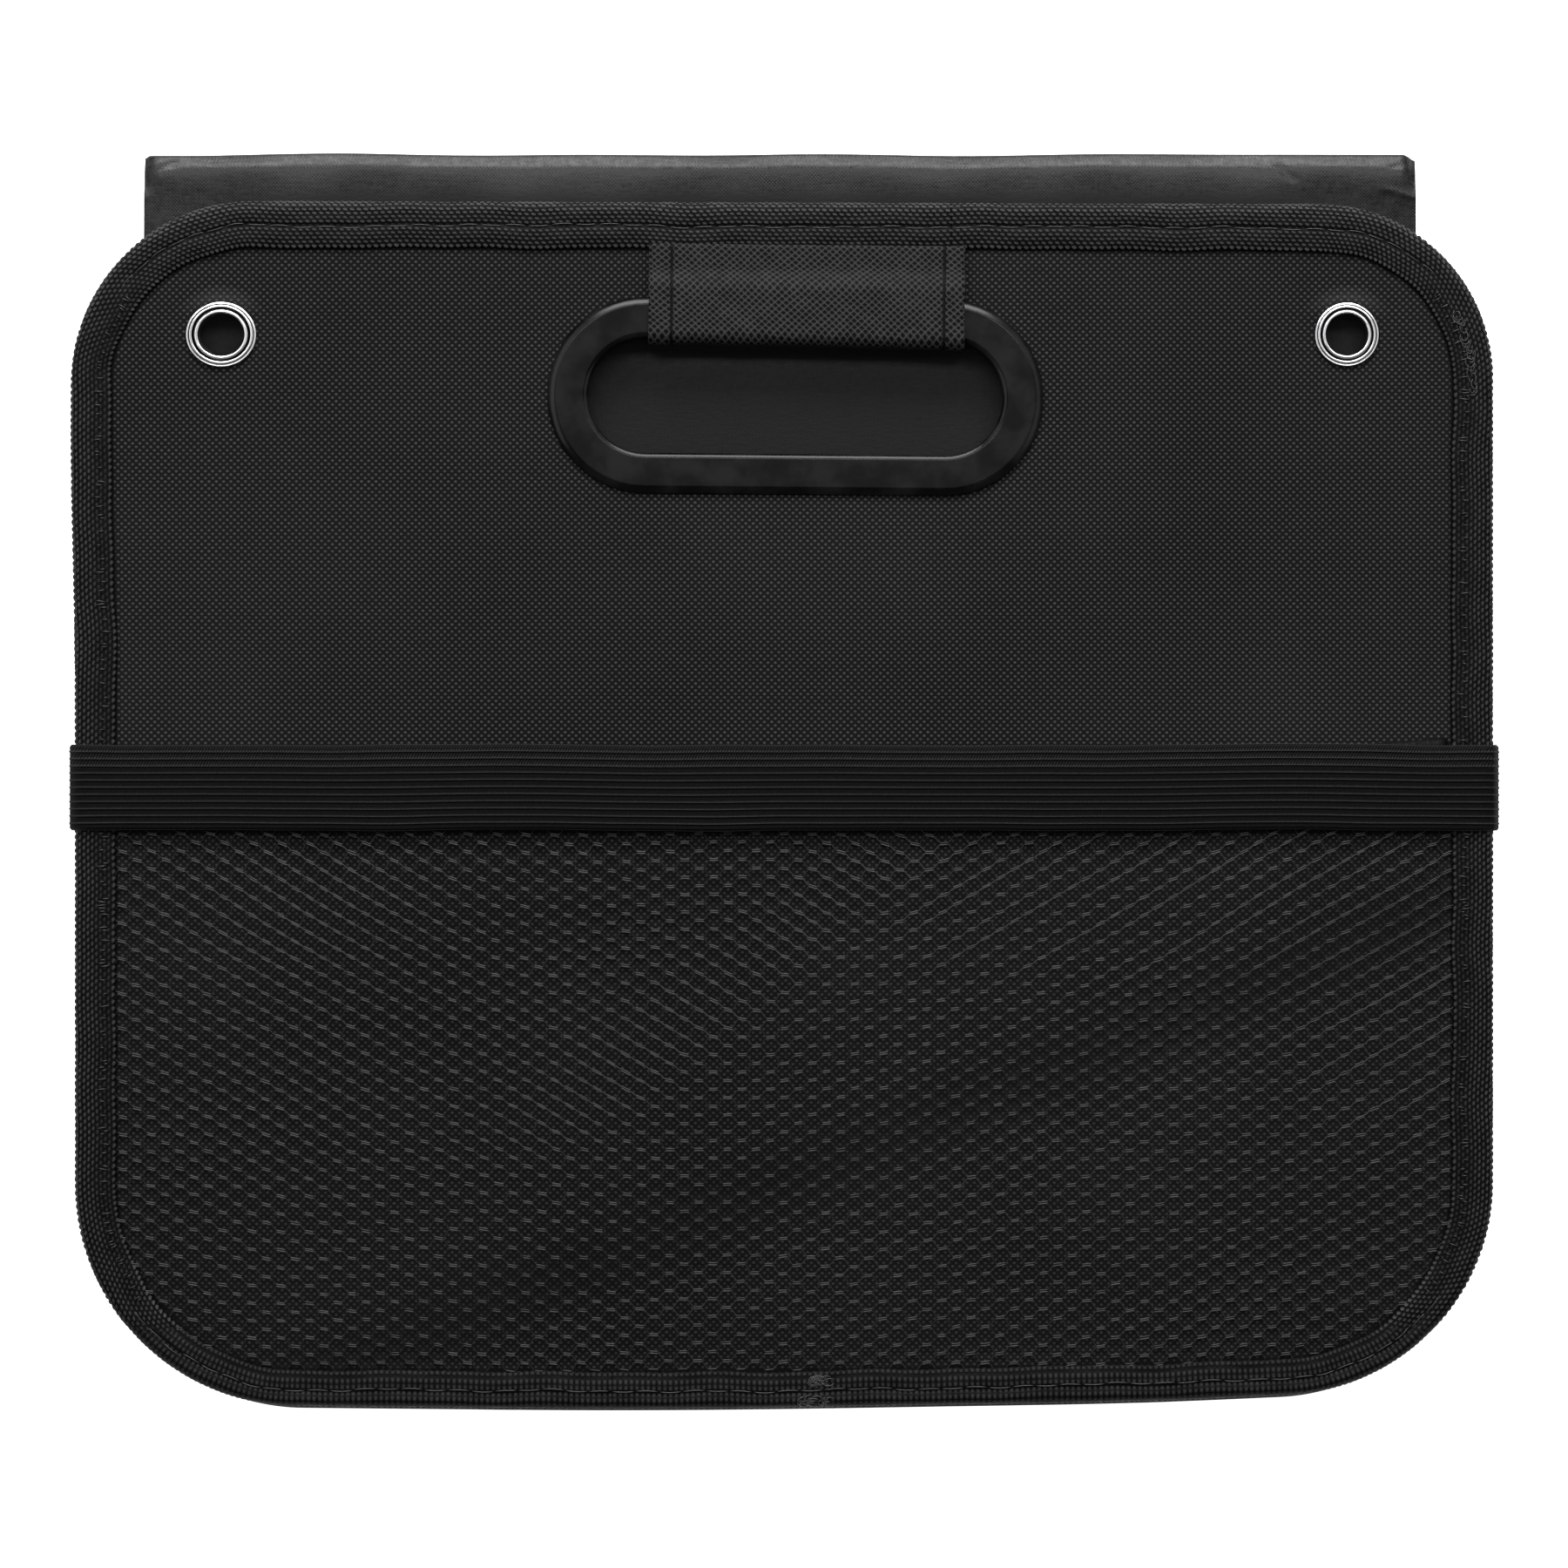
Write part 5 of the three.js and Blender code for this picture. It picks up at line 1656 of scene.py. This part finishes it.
class OBJECT_OT_body_cloth(bpy.types.Operator):
    """The floor cloth and the pleated walls"""

    bl_idname = "organiser.body_cloth"
    bl_label = "Body cloth"

    def execute(self, context):
        self.floor_cloth()
        self.wall("left", -1)
        self.wall("right", 1)
        return {"FINISHED"}

    def floor_cloth(self):
        low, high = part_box("floor_cloth")
        bottom, top_end = PANEL_BOTTOM + 16 * MM, high.y - 0.3 * MM
        flap_edge = PANEL_BOTTOM + 6 * MM
        half = [(flap_edge, SEAM_HEIGHT), (bottom, SEAM_HEIGHT),
                (bottom, FLOOR_LAYER), (top_end, FLOOR_LAYER)]
        line, along = evenly(rounded_line(mirrored(half), 1.4 * MM, 4), 3 * MM)
        xs = np.linspace(low.x + 0.3 * MM, high.x - 0.3 * MM, 26)
        lowest = seam_limit(xs, "y", PANEL_BOTTOM + 60 * MM, 1)
        blend = 44 * MM
        points = []
        for y, z in line:
            drop = REAR_DROP if z < 0 else 0
            squeeze = np.maximum(lowest - flap_edge, 0) * np.clip(1 - (y - flap_edge) / blend, 0, 1)
            shift = drop * float(np.clip(abs(z) / SEAM_HEIGHT, 0, 1)) if y < bottom + 2 * MM else 0
            points.append(np.column_stack([xs, y + squeeze - shift, np.full(len(xs), MIDDLE + z)]))
        cloth = piece("floor_nylon", np.vstack(points), lattice_faces(len(line), len(xs)), "nylon",
                      ["floor_cloth"])
        thicken(cloth, BODY_CLOTH)

    def wall(self, side, sign):
        low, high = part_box(f"wall_{side}")
        half = [(WALL_SEAM, SEAM_HEIGHT), (WALL_FOLD, SEAM_HEIGHT), (WALL_FOLD, WALL_LAYERS[0]),
                (WALL_INNER_FOLD, WALL_LAYERS[0]), (WALL_INNER_FOLD, WALL_LAYERS[1]),
                (WALL_FOLD - 0.6 * MM, WALL_LAYERS[1])]
        line, along = evenly(rounded_line(mirrored(half), 0.54 * MM, 4), 2.5 * MM)
        ys = np.linspace(low.y + 0.3 * MM, high.y - 0.3 * MM, 26)
        widest = np.maximum(seam_limit(ys, "x", 0, sign), WALL_FOLD + 0.8 * MM)
        points = []
        for x, z in line:
            outside = float(smooth_step(np.array(x), 150 * MM, WALL_FOLD))
            dent = 0.3 * MM * outside * waviness(ys, np.full(len(ys), z), 50 * MM, 41)
            flap = np.clip((x - WALL_FOLD) / (WALL_SEAM - WALL_FOLD), 0, 1)
            inward = flap * (WALL_SEAM - np.minimum(widest, WALL_SEAM))
            points.append(np.column_stack([BODY_X + sign * (x - np.abs(dent) - inward), ys,
                                           np.full(len(ys), MIDDLE + z)]))
        cloth = piece(f"{side}_wall_nylon", np.vstack(points), lattice_faces(len(line), len(ys)), "nylon",
                      [f"wall_{side}"])
        thicken(cloth, BODY_CLOTH)


def thicken(cloth, amount):
    """Gives a cloth its thickness, half of it on each side."""
    plies = cloth.modifiers.new("thickness", "SOLIDIFY")
    plies.thickness = amount
    plies.offset = 0


# Stage

CAMERA_HEIGHT = 1.6
CAMERA_Y = 0.4 * MM
LENS = 148.84

# The light: an even white surround, and soft boxes by place, width, depth and power.
WORLD_LIGHT = 0.25
FLOOR_GLOW = 0.9
LAMPS = (
    ("key", (0.0, 1.5, 0.85), 1.5, 0.5, 60),
    ("high", (0.0, 1.0, 1.9), 2.4, 0.4, 38),
    ("left", (-1.3, 0.3, 0.9), 2.0, 0.5, 10),
    ("right", (1.3, 0.3, 0.9), 2.0, 0.5, 6),
    ("overhead", (0.0, 0.05, 2.2), 1.2, 1.2, 4.2),
)


class OBJECT_OT_stage(bpy.types.Operator):
    """Floor, soft studio light and a camera straight above the pack"""

    bl_idname = "organiser.stage"
    bl_label = "Stage"

    def execute(self, context):
        context.scene.view_settings.view_transform = "Standard"
        self.floor()
        self.lights()
        self.camera()
        return {"FINISHED"}

    def floor(self):
        mesh = bpy.data.meshes.new("floor")
        reach = 3.0
        mesh.from_pydata([(-reach, -reach, 0), (reach, -reach, 0), (reach, reach, 0), (-reach, reach, 0)], [],
                         [(0, 1, 2, 3)])
        finish = Finish("organiser_floor")
        speckle = finish.noise(6, 2)
        finish.colour(speckle, shade(colours().floor, 0.985), colours().floor)
        finish.set(Roughness=0.9, Emission_Color=(1, 1, 1, 1), Emission_Strength=FLOOR_GLOW)
        mesh.materials.append(finish.material)
        floor = bpy.data.objects.new("floor", mesh)
        floor.location.z = CAD_BOX[0].z - 0.2 * MM
        bpy.context.scene.collection.objects.link(floor)

    def lights(self):
        world = bpy.data.worlds.new("studio")
        world.use_nodes = True
        world.node_tree.nodes["Background"].inputs["Color"].default_value = (1, 1, 1, 1)
        world.node_tree.nodes["Background"].inputs["Strength"].default_value = WORLD_LIGHT
        bpy.context.scene.world = world
        for name, place, width, depth, power in LAMPS:
            light = bpy.data.lights.new(name, "AREA")
            light.shape = "RECTANGLE"
            light.size, light.size_y = width, depth
            light.energy = power
            lamp = bpy.data.objects.new(name, light)
            lamp.location = place
            lamp.rotation_euler = (-Vector(place)).to_track_quat("-Z", "Y").to_euler()
            bpy.context.scene.collection.objects.link(lamp)

    def camera(self):
        data = bpy.data.cameras.new("camera")
        data.lens = LENS
        data.sensor_width = 36
        data.clip_start = 0.05
        camera = bpy.data.objects.new("camera", data)
        camera.location = (0, CAMERA_Y, CAMERA_HEIGHT + TAPE_OUT)
        bpy.context.scene.collection.objects.link(camera)
        bpy.context.scene.camera = camera


class VIEW3D_PT_organiser(bpy.types.Panel):
    """Lists the steps that dress the organiser"""

    bl_label = "Boot organiser"
    bl_idname = "VIEW3D_PT_organiser"
    bl_space_type = "VIEW_3D"
    bl_region_type = "UI"
    bl_category = "Organiser"

    def draw(self, context):
        for group in (context.scene.organiser_sizes, context.scene.organiser_colours):
            box = self.layout.box()
            for name in group.bl_rna.properties.keys():
                if name not in ("rna_type", "name"):
                    box.prop(group, name)
        for operator in STEPS:
            self.layout.operator(operator.bl_idname)


STEPS = (
    OBJECT_OT_stage,
    OBJECT_OT_panel_cloth,
    OBJECT_OT_bindings,
    OBJECT_OT_grips,
    OBJECT_OT_eyelets,
    OBJECT_OT_pocket,
    OBJECT_OT_elastic_band,
    OBJECT_OT_folded_base,
    OBJECT_OT_body_cloth,
)
CLASSES = (OrganiserSizes, OrganiserColours, *STEPS, VIEW3D_PT_organiser)


def register():
    for each in CLASSES:
        bpy.utils.register_class(each)
    bpy.types.Scene.organiser_sizes = PointerProperty(type=OrganiserSizes)
    bpy.types.Scene.organiser_colours = PointerProperty(type=OrganiserColours)


def unregister():
    del bpy.types.Scene.organiser_colours
    del bpy.types.Scene.organiser_sizes
    for each in reversed(CLASSES):
        bpy.utils.unregister_class(each)


def main():
    register()
    for step in STEPS:
        group, name = step.bl_idname.split(".")
        getattr(getattr(bpy.ops, group), name)()


if __name__ == "__main__":
    main()
